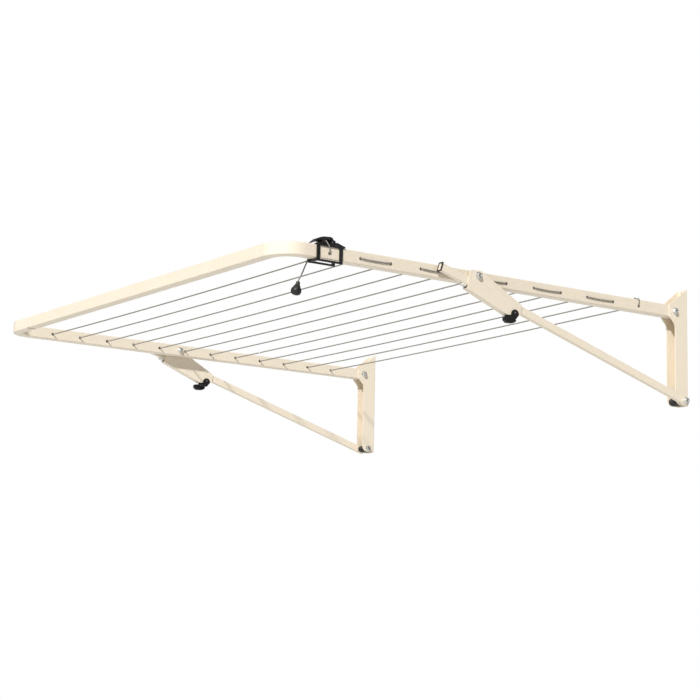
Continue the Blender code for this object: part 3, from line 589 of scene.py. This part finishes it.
def hole_tree():
    """A row of punches for the holes in a tube, along Y, each with its axis along X."""
    tree, given, out = new_shape_tree("hole_punches", {
        "Geometry": "Geometry", "Count": LINE_COUNT, "First": "Vector", "Pitch": LINE_PITCH,
        "Radius": LINE_HOLE_RADIUS, "Depth": 0.05})
    step = add_node(tree, "ShaderNodeCombineXYZ", {"Y": given["Pitch"]})
    row = add_node(tree, "GeometryNodeMeshLine",
                   {"Count": given["Count"], "Start Location": given["First"],
                    "Offset": step.outputs[0]}, mode="OFFSET")
    punch = add_node(tree, "GeometryNodeMeshCylinder",
                     {"Vertices": 28, "Radius": given["Radius"], "Depth": given["Depth"]})
    placed = add_node(tree, "GeometryNodeInstanceOnPoints",
                      {"Points": row.outputs[0], "Instance": punch.outputs["Mesh"],
                       "Rotation": (0.0, math.radians(90), 0.0)})
    return end_tree(tree, placed.outputs[0], given, out)


def fastener_tree():
    """Gives a turned blank its hexagon flats and its thread.

    The blank carries two point attributes: hex is 1 where the hexagon cuts it, thread is 1 where the
    thread is rolled.
    """
    tree, given, out = new_shape_tree("hex_and_thread", {
        "Blank": "Geometry", "Across flats": 0.013, "Pitch": 0.00125, "Thread depth": 0.0005})
    hexed, rolled = (add_node(tree, "GeometryNodeInputNamedAttribute", {"Name": mark},
                              data_type="FLOAT").outputs["Attribute"] for mark in ("hex", "thread"))
    position = add_node(tree, "GeometryNodeInputPosition").outputs[0]
    x, y, z = add_node(tree, "ShaderNodeSeparateXYZ", {"Vector": position}).outputs
    angle = math_node(tree, "ARCTAN2", y, x)
    flat = add_node(tree, "ShaderNodeCombineXYZ", {"X": x, "Y": y})
    radius = add_node(tree, "ShaderNodeVectorMath", {0: flat.outputs[0]},
                      operation="LENGTH").outputs["Value"]
    # distance from the axis to the hexagon's side at this angle
    within = math_node(tree, "WRAP", angle, math.radians(30), math.radians(-30))
    side = math_node(tree, "DIVIDE", product(tree, given["Across flats"], 0.5),
                     math_node(tree, "COSINE", within))
    cut = math_node(tree, "MINIMUM", radius, side)
    shaped = add_node(tree, "ShaderNodeMix", {"Factor": hexed, 2: radius, 3: cut})
    # the thread's depth follows a helix
    turns = math_node(tree, "DIVIDE", angle, 2 * math.pi)
    climb = math_node(tree, "DIVIDE", z, given["Pitch"])
    wave = math_node(tree, "PINGPONG", math_node(tree, "SUBTRACT", climb, turns), 0.5)
    depth = product(tree, wave, 2.0, given["Thread depth"], rolled)
    final = math_node(tree, "SUBTRACT", shaped.outputs[0], depth)
    ratio = math_node(tree, "DIVIDE", final, math_node(tree, "MAXIMUM", radius, 0.000001))
    moved = add_node(tree, "ShaderNodeCombineXYZ",
                     {"X": product(tree, x, ratio), "Y": product(tree, y, ratio), "Z": z})
    placed = add_node(tree, "GeometryNodeSetPosition",
                      {"Geometry": given["Blank"], "Position": moved.outputs[0]})
    return end_tree(tree, placed.outputs[0], given, out)


# ---- turned pieces ----
def turned_blank(node, profile, steps=60):
    """Rows of (radius, height, hex, thread) turned about +Z; the two marks may be left out."""
    closed = profile[0][0] > 0 and profile[-1][0] > 0
    count = len(profile)
    edges = [(index, (index + 1) % count) for index in range(count if closed else count - 1)]
    data = bpy.data.meshes.new(node)
    data.from_pydata([(radius, 0, height) for radius, height, *_ in profile], edges, [])
    for place, label in ((2, "hex"), (3, "thread")):
        marks = data.attributes.new(label, "FLOAT", "POINT")
        for index, point in enumerate(profile):
            marks.data[index].value = point[place] if len(point) > place else 0.0
    made = new_object(node + "_finished", data)
    modify(made, "turn", "SCREW", steps=steps, render_steps=steps, use_merge_vertices=True,
           merge_threshold=AXIS_WELD, use_smooth_shade=True)
    return made


def outward_normals(piece):
    bm = bmesh.new()
    bm.from_mesh(piece.data)
    bmesh.ops.remove_doubles(bm, verts=bm.verts, dist=TURNED_WELD)
    bmesh.ops.recalc_face_normals(bm, faces=bm.faces)
    bm.to_mesh(piece.data)
    bm.free()
    return piece


def hex_profile(base, height, flats):
    """Rows of a hexagon head from its base up to its chamfered top, as seen from the side."""
    corner = flats / math.sqrt(3)
    land = 0.94 * flats / 2
    chamfer = (corner - land) * math.tan(math.radians(30))
    rows = [(corner * 1.02, base, 1), (corner * 1.02, height - chamfer * 1.2, 1)]
    for step in range(HEX_ROWS + 1):
        share = step / HEX_ROWS
        rows.append((corner * 1.001 + (land - corner * 1.001) * share,
                     height - chamfer * (1 - share), 1))
    return rows


def thread_profile(length):
    """Closely spaced rows of a threaded end, up from its chamfered tip."""
    count = max(4, round(length / THREAD_ROW))
    heights = [length * step / count for step in range(count + 1)]
    return [(BOLT_RADIUS - max(0.0, TIP_CHAMFER - height), height, 0, 1.0 if height else 0.0)
            for height in heights]


def flange_profile(seat):
    return [(FLANGE_RADIUS - FLANGE_EDGE, seat), (FLANGE_RADIUS, seat + FLANGE_EDGE),
            (FLANGE_RADIUS, seat + FLANGE_THICK * 0.6),
            (FLANGE_RADIUS - FLANGE_SLOPE, seat + FLANGE_THICK)]


def make_fastener(node, profile, pivot, direction, turn):
    """Turns a profile into a fastener on a (Y, Z) pivot, pointing along +X or -X."""
    blank = turned_blank(node, profile)
    settings = shape_settings()
    add_nodes_modifier(blank, fastener_tree,
                       {"Across flats": settings.flats, "Pitch": settings.thread_pitch,
                        "Thread depth": settings.thread_pitch * 0.4, "Finish": material_for(node)})
    low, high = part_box(node)
    blank.matrix_world = (Matrix.Translation((low.x if direction > 0 else high.x, *pivot))
                          @ Matrix.Rotation(math.radians(90 * direction), 4, "Y")
                          @ Matrix.Rotation(math.radians(turn), 4, "Z"))
    stand_for(smooth_faces(outward_normals(settled(blank)), 28), node)


def make_bolt(node, pivot, direction, turn):
    """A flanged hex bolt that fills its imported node's box, its head towards direction."""
    # heights are measured from the tip of the shank up to the crown of the head
    crown = extent(node).x
    seat = crown - BOLT_HEAD
    flats = shape_settings().flats
    profile = [(0.0, 0.0), (BOLT_RADIUS - TIP_CHAMFER, 0.0)]
    profile += thread_profile(min(seat, THREAD_LENGTH)) + [(BOLT_RADIUS, seat)]
    profile += flange_profile(seat) + hex_profile(seat + FLANGE_THICK, crown, flats)
    profile += [(flats * 0.30, crown), (flats * 0.27, crown - 0.0004), (0.0, crown - 0.0004)]
    make_fastener(node, profile, pivot, direction, turn)


def make_nut(node, pivot, direction, turn):
    """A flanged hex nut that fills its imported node's box, its flange away from direction."""
    height = extent(node).x
    profile = [(BOLT_BORE, 0.0004), (BOLT_BORE + 0.0006, 0.0)] + flange_profile(0.0)
    profile += hex_profile(FLANGE_THICK, height, shape_settings().flats)
    profile += [(BOLT_BORE + 0.0007, height), (BOLT_BORE, height - 0.0006)]
    make_fastener(node, profile, pivot, direction, turn)


# ---- routes ----
# the line's places on, under and over the arm, its tensioner and the toggle below
OUT_X = ARM_OUTER + GAP + LINE_RADIUS + LINE_LIFT
TURN_X = OUT_X - TURN_RADIUS
SADDLE_INNER = ARM_INNER - GAP - 0.00295
SADDLE_OUTER = ARM_OUTER + GAP + 0.00315
EYE_X = SADDLE_INNER - 0.0021
OVER_X = SADDLE_OUTER + 0.0021
CLEAT_TOP = 0.0253
OVER_Z = CLEAT_TOP + 0.0022
CLEAT_Y = -1.2085
TAIL_TOP = Vector((EYE_X, -1.233, -0.0160))
TOGGLE_TOP = Vector((0.700, -1.250, -0.071))
TOGGLE_AXIS = Vector((-0.002, -0.007, -0.033)).normalized()
RUN_STEPS = 12
TURN_STEPS = 6


def turn_out(side, y, toward):
    """The quarter turn from a hole's axis onto the arm's outer face, towards +Y or -Y."""
    points = []
    for step in range(TURN_STEPS + 1):
        angle = math.radians(90) * step / TURN_STEPS
        points.append((side * (TURN_X + TURN_RADIUS * math.sin(angle)),
                       y + toward * TURN_RADIUS * (1 - math.cos(angle)), LINE_HEIGHT))
    return points


def line_loop(side, first, second):
    """The line passes out of one hole, along the arm's outer face and back in at the next."""
    first, second = first + LINE_SHIFT, second - LINE_SHIFT
    middle = [(side * OUT_X, first + (second - first) * share, LINE_HEIGHT - LOOP_SAG * bow)
              for share, bow in ((0.25, 0.75), (0.5, 1.0), (0.75, 0.75))]
    if first < SLEEVE_PIVOT[0] < second:
        # this loop passes under the spacer on the sleeve's pivot bolt
        reach = SPACER_RADIUS + shape_settings().line_radius + 2 * GAP
        middle = [(side * OUT_X, SLEEVE_PIVOT[0] + reach * across, SLEEVE_PIVOT[1] + reach * down)
                  for across, down in ((-3.2, -0.60), (-1.0, -0.92), (0.0, -1.08), (0.62, -0.96))]
    return turn_out(side, first, 1) + middle + turn_out(side, second, -1)[::-1]


def line_run(start, stop):
    """Inner points of one run across the frame, which hangs in a shallow curve."""
    start, stop = Vector(start), Vector(stop)
    points = []
    for step in range(1, RUN_STEPS):
        share = step / RUN_STEPS
        point = start.lerp(stop, share)
        point.z -= shape_settings().line_sag * 4 * share * (1 - share)
        points.append(tuple(point))
    return points


def line_route():
    first = LINE_YS[0]
    # tail down the inner side, across the arm's top under the jaw, down the outer face
    points = [tuple(TAIL_TOP), (EYE_X, -1.2315, -0.010), (EYE_X, -1.2250, 0.006),
              (EYE_X, -1.2175, 0.0160), (EYE_X, -1.2120, 0.0240),
              (EYE_X + 0.0006, -1.2112, CLEAT_TOP + 0.0015),
              (SADDLE_INNER, -1.2100, OVER_Z), (EYE_X + 0.008, CLEAT_Y, OVER_Z),
              (OVER_X - 0.008, CLEAT_Y, OVER_Z), (SADDLE_OUTER, CLEAT_Y + 0.0002, OVER_Z),
              (OVER_X - 0.0006, CLEAT_Y + 0.0015, CLEAT_TOP + 0.0015), (OVER_X, -1.2054, 0.0250),
              (OVER_X, -1.1985, 0.0165), (OVER_X - 0.0006, -1.1950, 0.0105),
              (OVER_X - 0.0012, -1.1935, 0.0050), (OVER_X - 0.0035, first, LINE_HEIGHT + 0.0005),
              (ARM_OUTER - 0.002, first, LINE_HEIGHT), (ARM_INNER + 0.002, first, LINE_HEIGHT)]
    # inside again, down to the guide eye and off across the frame
    points += [(ARM_INNER - 0.003, first - 0.001, LINE_HEIGHT - 0.0005),
               (EYE_X, first - 0.0045, LINE_HEIGHT - 0.003),
               (EYE_X, -1.216, -0.0135), (EYE_X - 0.001, -1.2225, -0.016),
               (EYE_X - 0.004, EYE[0], EYE[1]), (EYE_X - 0.009, EYE[0] + 0.0012, EYE[1])]
    points += line_run(points[-1], (-TURN_X, first + LINE_SHIFT, LINE_HEIGHT))
    side = -1
    for index in range(LINE_COUNT - 1):
        here = LINE_YS[index + 1]
        there = here + (LINE_SHIFT if index < LINE_COUNT - 2 else 0)
        points += line_loop(side, LINE_YS[index], here)
        points += line_run((side * TURN_X, here - LINE_SHIFT, LINE_HEIGHT),
                           (-side * TURN_X, there, LINE_HEIGHT))
        side = -side
    # last hole on the right arm: up the outer face and over the top to a knot
    last = LINE_YS[-1]
    top = ARM_TOP + GAP + LINE_RADIUS + LINE_LIFT
    points += [(TURN_X, last, LINE_HEIGHT), (OUT_X - 0.0012, last, LINE_HEIGHT + 0.0012),
               (OUT_X, last, LINE_HEIGHT + 0.004), (OUT_X, last, top - 0.004),
               (OUT_X - 0.0012, last, top - 0.0012), (OUT_X - 0.004, last, top),
               (ARM_CENTRE + 0.004 + 2 * GAP, last, top)]
    return points


def pull_cord_route():
    """The free tail's points, from the tensioner down to its toggle."""
    start = TAIL_TOP - Vector((0, 0.0004, 0.0016))
    return [start, start + Vector((-0.0006, -0.0022, -0.008)), Vector((0.7098, -1.2385, -0.034)),
            Vector((0.7062, -1.2433, -0.050)), Vector((0.7022, -1.2470, -0.0610)),
            TOGGLE_TOP - TOGGLE_AXIS * 0.005, TOGGLE_TOP - TOGGLE_AXIS * GAP]


def eased_path(points, steps=6):
    """A smooth curve through the points."""
    ends = [points[0] * 2 - points[1], *points, points[-1] * 2 - points[-2]]
    path = []
    for before, start, stop, after in zip(ends, ends[1:], ends[2:], ends[3:]):
        for step in range(steps):
            share = step / steps
            path.append(0.5 * (2 * start + (stop - before) * share
                               + (2 * before - 5 * start + 4 * stop - after) * share ** 2
                               + (3 * start - before - 3 * stop + after) * share ** 3))
    return path + [points[-1]]


def lay_line(node, points, radius=None, corner=None, sharp=50):
    """The finished look of a node that is a length of line along a route."""
    radius = radius or shape_settings().line_radius
    route = polyline(node + "_finished", points)
    add_nodes_modifier(route, line_tree, {"Radius": radius, "Corner": corner or radius * 3,
                                          "Finish": material_for(node)})
    return stand_for(smooth_faces(settled(route), sharp), node)


# ---- operators ----
CAMERA_PLACE = Vector((4.69352, -3.88515, -1.05501))
CAMERA_ANGLES = (55.049, 9.714, 1.129)       # yaw, pitch and roll in degrees
SUN_TRAVEL = Vector((-0.52, 0.62, -0.58))    # the way the key light shines
FILL_TRAVEL = Vector((0.20, 0.95, -0.20))    # and the soft light in front


class CLOTHESLINE_OT_camera(Operator):
    """Stand the camera below and to the right of the clothesline"""
    bl_idname = "clothesline.camera"
    bl_label = "Camera"

    def execute(self, context):
        data = bpy.data.cameras.new("camera")
        data.lens = stage_settings().lens
        data.clip_end = 60.0
        made = new_object("camera", data)
        yaw, pitch, roll = (math.radians(angle) for angle in CAMERA_ANGLES)
        turn = (Matrix.Rotation(yaw, 4, "Z") @ Matrix.Rotation(math.radians(90) + pitch, 4, "X")
                @ Matrix.Rotation(roll, 4, "Z"))
        made.matrix_world = Matrix.Translation(CAMERA_PLACE) @ turn
        context.scene.camera = made
        return {"FINISHED"}


class CLOTHESLINE_OT_stage(Operator):
    """Add the pale floor, the soft sky and the two suns"""
    bl_idname = "clothesline.stage"
    bl_label = "Stage"

    def execute(self, context):
        settings = stage_settings()
        half = settings.floor_size / 2
        data = bpy.data.meshes.new("floor")
        data.from_pydata([(x * half, y * half, -settings.floor_drop)
                          for x, y in ((-1, -1), (1, -1), (1, 1), (-1, 1))], [], [(0, 1, 2, 3)])
        floor = new_object("floor", data)
        look, tree, shader = new_material("floor_paper")
        feed(tree, shader, {"Base Color": (0.90, 0.90, 0.89, 1), "Roughness": 0.9})
        data.materials.append(look)

        suns = (("key_sun", settings.sun_strength, 4, SUN_TRAVEL),
                ("front_fill", settings.fill_strength, 30, FILL_TRAVEL))
        for name, strength, angle, travel in suns:
            sun = bpy.data.lights.new(name, "SUN")
            sun.energy = strength
            sun.angle = math.radians(angle)
            lamp = new_object(name, sun)
            lamp.rotation_mode = "QUATERNION"
            lamp.rotation_quaternion = travel.to_track_quat("-Z", "Y")

        world = bpy.data.worlds.new("soft_sky")
        world.use_nodes = True
        tree = world.node_tree
        tree.nodes.clear()
        # light falls off towards the ground, and the sky itself is seen as plain white
        up = add_node(tree, "ShaderNodeTexCoord").outputs["Generated"]
        height = add_node(tree, "ShaderNodeSeparateXYZ", {"Vector": up}).outputs["Z"]
        level = map_range(tree, height, -1.0, 1.0, settings.sky_bottom, settings.sky_top)
        light = add_node(tree, "ShaderNodeBackground",
                         {"Color": (1.0, 0.99, 0.975, 1), "Strength": level})
        seen = add_node(tree, "ShaderNodeBackground", {"Color": (1, 1, 1, 1), "Strength": 1.0})
        path = add_node(tree, "ShaderNodeLightPath")
        mixed = add_node(tree, "ShaderNodeMixShader",
                         {0: path.outputs["Is Camera Ray"], 1: light.outputs[0], 2: seen.outputs[0]})
        add_node(tree, "ShaderNodeOutputWorld", {"Surface": mixed.outputs[0]})
        context.scene.world = world
        context.scene.view_settings.view_transform = "Standard"
        return {"FINISHED"}


# radius and height of the toggle, from its collar down to its foot
TOGGLE_PROFILE = ((0.0, -0.0008), (0.0020, -0.0006), (0.0034, 0.0), (0.0046, -0.0012),
                  (0.0050, -0.0030), (0.0050, -0.0058), (0.0062, -0.0086), (0.0085, -0.0130),
                  (0.0106, -0.0166), (0.0121, -0.0196), (0.0129, -0.0226), (0.0130, -0.0252),
                  (0.0126, -0.0278), (0.0114, -0.0305), (0.0092, -0.0327), (0.0060, -0.0340),
                  (0.0, -0.0345))


class CLOTHESLINE_OT_pull_cord(Operator):
    """Hang the line's free tail and its toggle from the tensioner"""
    bl_idname = "clothesline.pull_cord"
    bl_label = "Pull cord and toggle"

    def execute(self, context):
        path = eased_path(pull_cord_route())
        tail = lay_line("pull_cord", path)
        toggle = turned_blank("pull_toggle", TOGGLE_PROFILE, steps=48)
        tilt = Vector((0, 0, -1)).rotation_difference(TOGGLE_AXIS).to_matrix().to_4x4()
        toggle.matrix_world = Matrix.Translation(TOGGLE_TOP) @ tilt
        toggle = stand_for(smooth_faces(outward_normals(settled(toggle)), 40), "pull_toggle")
        return {"FINISHED"}


def frame_path(side, seam_x):
    """Centreline of one frame tube: arm, corner bend, front rail up to the seam."""
    settings = shape_settings()
    radius = settings.bend_radius - TUBE_WIDTH / 2
    middle = Vector((side * (ARM_CENTRE - radius), RAIL_CENTRE + radius, 0))
    points = [Vector((side * ARM_CENTRE, TUBE_HIGH.y, 0))]
    for step in range(settings.bend_steps + 1):
        angle = math.radians(90) * step / settings.bend_steps
        points.append(middle + radius * Vector((side * math.cos(angle), -math.sin(angle), 0)))
    return points + [Vector((seam_x, RAIL_CENTRE, 0))]


def punches(name, x, y, z, radius, count=1, pitch=0.0):
    made = new_object(name, bpy.data.meshes.new(name))
    add_nodes_modifier(made, hole_tree,
                       {"Count": count, "First": (x, y, z), "Pitch": pitch, "Radius": radius,
                        "Depth": 2 * TUBE_WIDTH})
    return settled(made)


def box_cutter(name, low, high):
    bm = bmesh.new()
    bmesh.ops.create_cube(bm, size=1, matrix=Matrix.Translation((low + high) / 2)
                          @ Matrix.Diagonal((*(high - low), 1)))
    data = bpy.data.meshes.new(name)
    bm.to_mesh(data)
    bm.free()
    return new_object(name, data)


def hollow_tube(node, path, width, height, corner, wall, holes, rim):
    """A swept tube with its wall, its holes and its rims rounded."""
    tube = polyline(node + "_finished", path)
    add_nodes_modifier(tube, tube_tree, {"Width": width, "Height": height, "Corner": corner,
                                         "Finish": material_for(node)})
    tube = outward_normals(settled(tube))
    modify(tube, "wall", "SOLIDIFY", thickness=wall, offset=-1, use_even_offset=True)
    for hole in holes:
        modify(tube, hole.name, "BOOLEAN", operation="DIFFERENCE", solver="EXACT", object=hole)
    tube = settled(tube)
    for hole in holes:
        bpy.data.objects.remove(hole, do_unlink=True)
    stand_for(ease_edges(tube, rim, 2, 50), node)


class CLOTHESLINE_OT_frame_tubes(Operator):
    """Bend the two frame tubes and punch the line's holes"""
    bl_idname = "clothesline.frame_tubes"
    bl_label = "Frame tubes"

    def execute(self, context):
        corner = shape_settings().tube_corner
        for node, side, low, high in both("frame_tube_"):
            x = side * ARM_CENTRE
            holes = [punches("line_holes", x, LINE_FIRST, LINE_HEIGHT, LINE_HOLE_RADIUS, LINE_COUNT,
                             LINE_PITCH),
                     punches("bush_hole", x, *FRAME_PIVOT, BUSH_BORE),
                     punches("sleeve_bolt_hole", x, *SLEEVE_PIVOT, BOLT_BORE)]
            if side > 0:
                across = (-TUBE_WIDTH, TUBE_WIDTH)
                corners = [Vector((low.x + x, RAIL_CENTRE + y, z))
                           for x, y, z in zip(SEAM_NOTCH_X, across, SEAM_NOTCH_Z)]
                holes.append(box_cutter("seam_notch", *corners))
            path = frame_path(side, low.x if side > 0 else high.x)
            hollow_tube(node, path, TUBE_WIDTH, TUBE_HEIGHT, corner, TUBE_WALL, holes,
                        TUBE_RIM)
        return {"FINISHED"}


def strut_direction():
    run = STRUT_PIVOT[0] - SLEEVE_PIVOT[0]
    rise = SLEEVE_PIVOT[1] - STRUT_PIVOT[1]
    angle = math.atan2(rise, run) - math.asin(SLEEVE_OFFSET / math.hypot(run, rise))
    return Vector((0, -math.cos(angle), math.sin(angle)))


class CLOTHESLINE_OT_struts(Operator):
    """Make the flat struts that prop the arms"""
    bl_idname = "clothesline.struts"
    bl_label = "Struts"

    def execute(self, context):
        direction = strut_direction()
        for node, _, low, high in both("strut_tube_"):
            x = (low.x + high.x) / 2
            # the tube's far end reaches the box's low Y and high Z corner
            reach = (high.y - low.y - STRUT_DEPTH * direction.z) / -direction.y
            pivot = Vector((x, *STRUT_PIVOT))
            start = pivot - direction * STRUT_END
            hole = punches("strut_hole", x, *STRUT_PIVOT, BOLT_BORE)
            hollow_tube(node, [start, start + direction * reach], high.x - low.x, STRUT_DEPTH,
                        STRUT_CORNER, STRUT_WALL, [hole], STRUT_RIM)
        return {"FINISHED"}


def near(value, *places):
    return min(abs(value - place) for place in places) < TOUCH


class CLOTHESLINE_OT_brackets(Operator):
    """Round the folds and edges of the wall brackets"""
    bl_idname = "clothesline.brackets"
    bl_label = "Wall brackets"

    def execute(self, context):
        settings = shape_settings()
        for node, _, low, high in both("wall_bracket_"):
            piece = welded_copy(node)
            # the folds run up both edges of the web: outside on the wall, inside a sheet away
            for inset, segments in ((0.0, 5), (SHEET, 3)):
                def on_fold(middle, direction):
                    return (near(middle.y, -inset) and near(middle.x, low.x + inset, high.x - inset)
                            and abs(direction.z) > 0.9)
                round_folds(piece, on_fold, settings.fold_radius - inset, segments)
            stand_for(ease_edges(piece, settings.edge_radius), node)
        return {"FINISHED"}


class CLOTHESLINE_OT_sleeves(Operator):
    """Round the folds and edges of the sliding sleeves"""
    bl_idname = "clothesline.sleeves"
    bl_label = "Sleeves"

    def execute(self, context):
        settings = shape_settings()
        for node, _, low, high in both("sleeve_"):

            def on_fold(middle, direction):
                return (near(middle.x, low.x, high.x) and middle.z < SLEEVE_SLANT_TOP
                        and SLEEVE_SLANT_Y[0] < middle.y < SLEEVE_SLANT_Y[1]
                        and abs(direction.y) > 0.5)
            piece = round_folds(welded_copy(node), on_fold, SLEEVE_FOLD, 4)
            stand_for(ease_edges(piece, settings.edge_radius), node)
        return {"FINISHED"}


class CLOTHESLINE_OT_mouldings(Operator):
    """Round the edges of the plastic and rubber mouldings"""
    bl_idname = "clothesline.mouldings"
    bl_label = "Mouldings"

    def execute(self, context):
        moulded = {"tensioner_body": 0.0006, "tensioner_jaw": 0.0007}
        for stem, radius in (("release_lever_", 0.0008), ("stop_buffer_", 0.0008),
                             ("arm_end_plug_", 0.0005), ("strut_end_cap_", 0.0005)):
            moulded.update({stem + side_name: radius for side_name, _ in SIDES})
        for node, radius in moulded.items():
            stand_for(ease_edges(welded_copy(node), radius), node)
        return {"FINISHED"}


# each pivot, with how far its bolt and its nut were turned home, in degrees
FASTENERS = (("frame", FRAME_PIVOT, 0, 17), ("sleeve", SLEEVE_PIVOT, 31, 42),
             ("strut", STRUT_PIVOT, 50, 5))


class CLOTHESLINE_OT_fasteners(Operator):
    """Turn the hex bolts and nuts"""
    bl_idname = "clothesline.fasteners"
    bl_label = "Bolts and nuts"

    def execute(self, context):
        turns = {"right": 11.0, "left": 23.0}
        for side_name, side in SIDES:
            turn = turns[side_name]
            for joint, pivot, bolt_turn, nut_turn in FASTENERS:
                make_bolt(f"{joint}_pivot_bolt_{side_name}", pivot, side, turn + bolt_turn)
                make_nut(f"{joint}_pivot_nut_{side_name}", pivot, -side, turn + nut_turn)
        return {"FINISHED"}


KNOT_STEPS = 48
KNOT_THICKNESS = 0.36       # the line's radius in the knot, against half the knot's width
KNOT_CORNER = 0.001


class CLOTHESLINE_OT_line(Operator):
    """Weave the clothes line and tie its end knot"""
    bl_idname = "clothesline.line"
    bl_label = "Clothes line"

    def execute(self, context):
        lay_line("clothes_line", line_route())
        low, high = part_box("line_end_knot")
        middle, half = (low + high) / 2, (high.x - low.x) / 2
        thick = half * KNOT_THICKNESS
        knot = []
        for step in range(KNOT_STEPS + 1):
            angle = 2 * math.pi * step / KNOT_STEPS
            shape = Vector((-math.sin(3 * angle) * 0.9,
                            (math.sin(angle) + 2 * math.sin(2 * angle)) * 0.75,
                            (math.cos(angle) - 2 * math.cos(2 * angle)) * 0.75))
            knot.append(middle + shape * ((half - thick) / 2.4))
        lay_line("line_end_knot", knot, thick, KNOT_CORNER, 60)
        return {"FINISHED"}


class CLOTHESLINE_OT_small_parts(Operator):
    """Finish the pins, bushes, spacers and rivets"""
    bl_idname = "clothesline.small_parts"
    bl_label = "Small parts"

    def execute(self, context):
        for node, piece in frame["nodes"].items():
            if not piece.hide_render:
                paint(piece, node)
        return {"FINISHED"}


class CLOTHESLINE_PT_panel(Panel):
    """Lists the steps that build the clothesline"""
    bl_label = "Clothesline"
    bl_idname = "CLOTHESLINE_PT_panel"
    bl_space_type = "VIEW_3D"
    bl_region_type = "UI"
    bl_category = "Clothesline"

    def draw(self, context):
        for group in SETTINGS:
            settings = getattr(context.scene, group)
            box = self.layout.box()
            for name in settings.bl_rna.properties.keys():
                if name not in ("rna_type", "name"):
                    box.prop(settings, name)
        for step in STEPS:
            self.layout.operator(step.bl_idname)


STEPS = (CLOTHESLINE_OT_camera, CLOTHESLINE_OT_pull_cord, CLOTHESLINE_OT_line,
         CLOTHESLINE_OT_frame_tubes, CLOTHESLINE_OT_struts, CLOTHESLINE_OT_brackets,
         CLOTHESLINE_OT_sleeves, CLOTHESLINE_OT_mouldings, CLOTHESLINE_OT_fasteners,
         CLOTHESLINE_OT_small_parts, CLOTHESLINE_OT_stage)
SETTINGS = {"clothesline_finish": CLOTHESLINE_PG_finish, "clothesline_shape": CLOTHESLINE_PG_shape,
            "clothesline_stage": CLOTHESLINE_PG_stage}


def register():
    for made in (*SETTINGS.values(), *STEPS, CLOTHESLINE_PT_panel):
        bpy.utils.register_class(made)
    for name, group in SETTINGS.items():
        setattr(bpy.types.Scene, name, PointerProperty(type=group))


def unregister():
    for name in SETTINGS:
        delattr(bpy.types.Scene, name)
    for made in (CLOTHESLINE_PT_panel, *reversed(STEPS), *SETTINGS.values()):
        bpy.utils.unregister_class(made)


def main():
    register()
    for step in STEPS:
        category, name = step.bl_idname.split(".")
        result = getattr(getattr(bpy.ops, category), name)()
        if result != {"FINISHED"}:
            raise RuntimeError(f"{step.bl_label} did not finish")


if __name__ == "__main__":
    main()
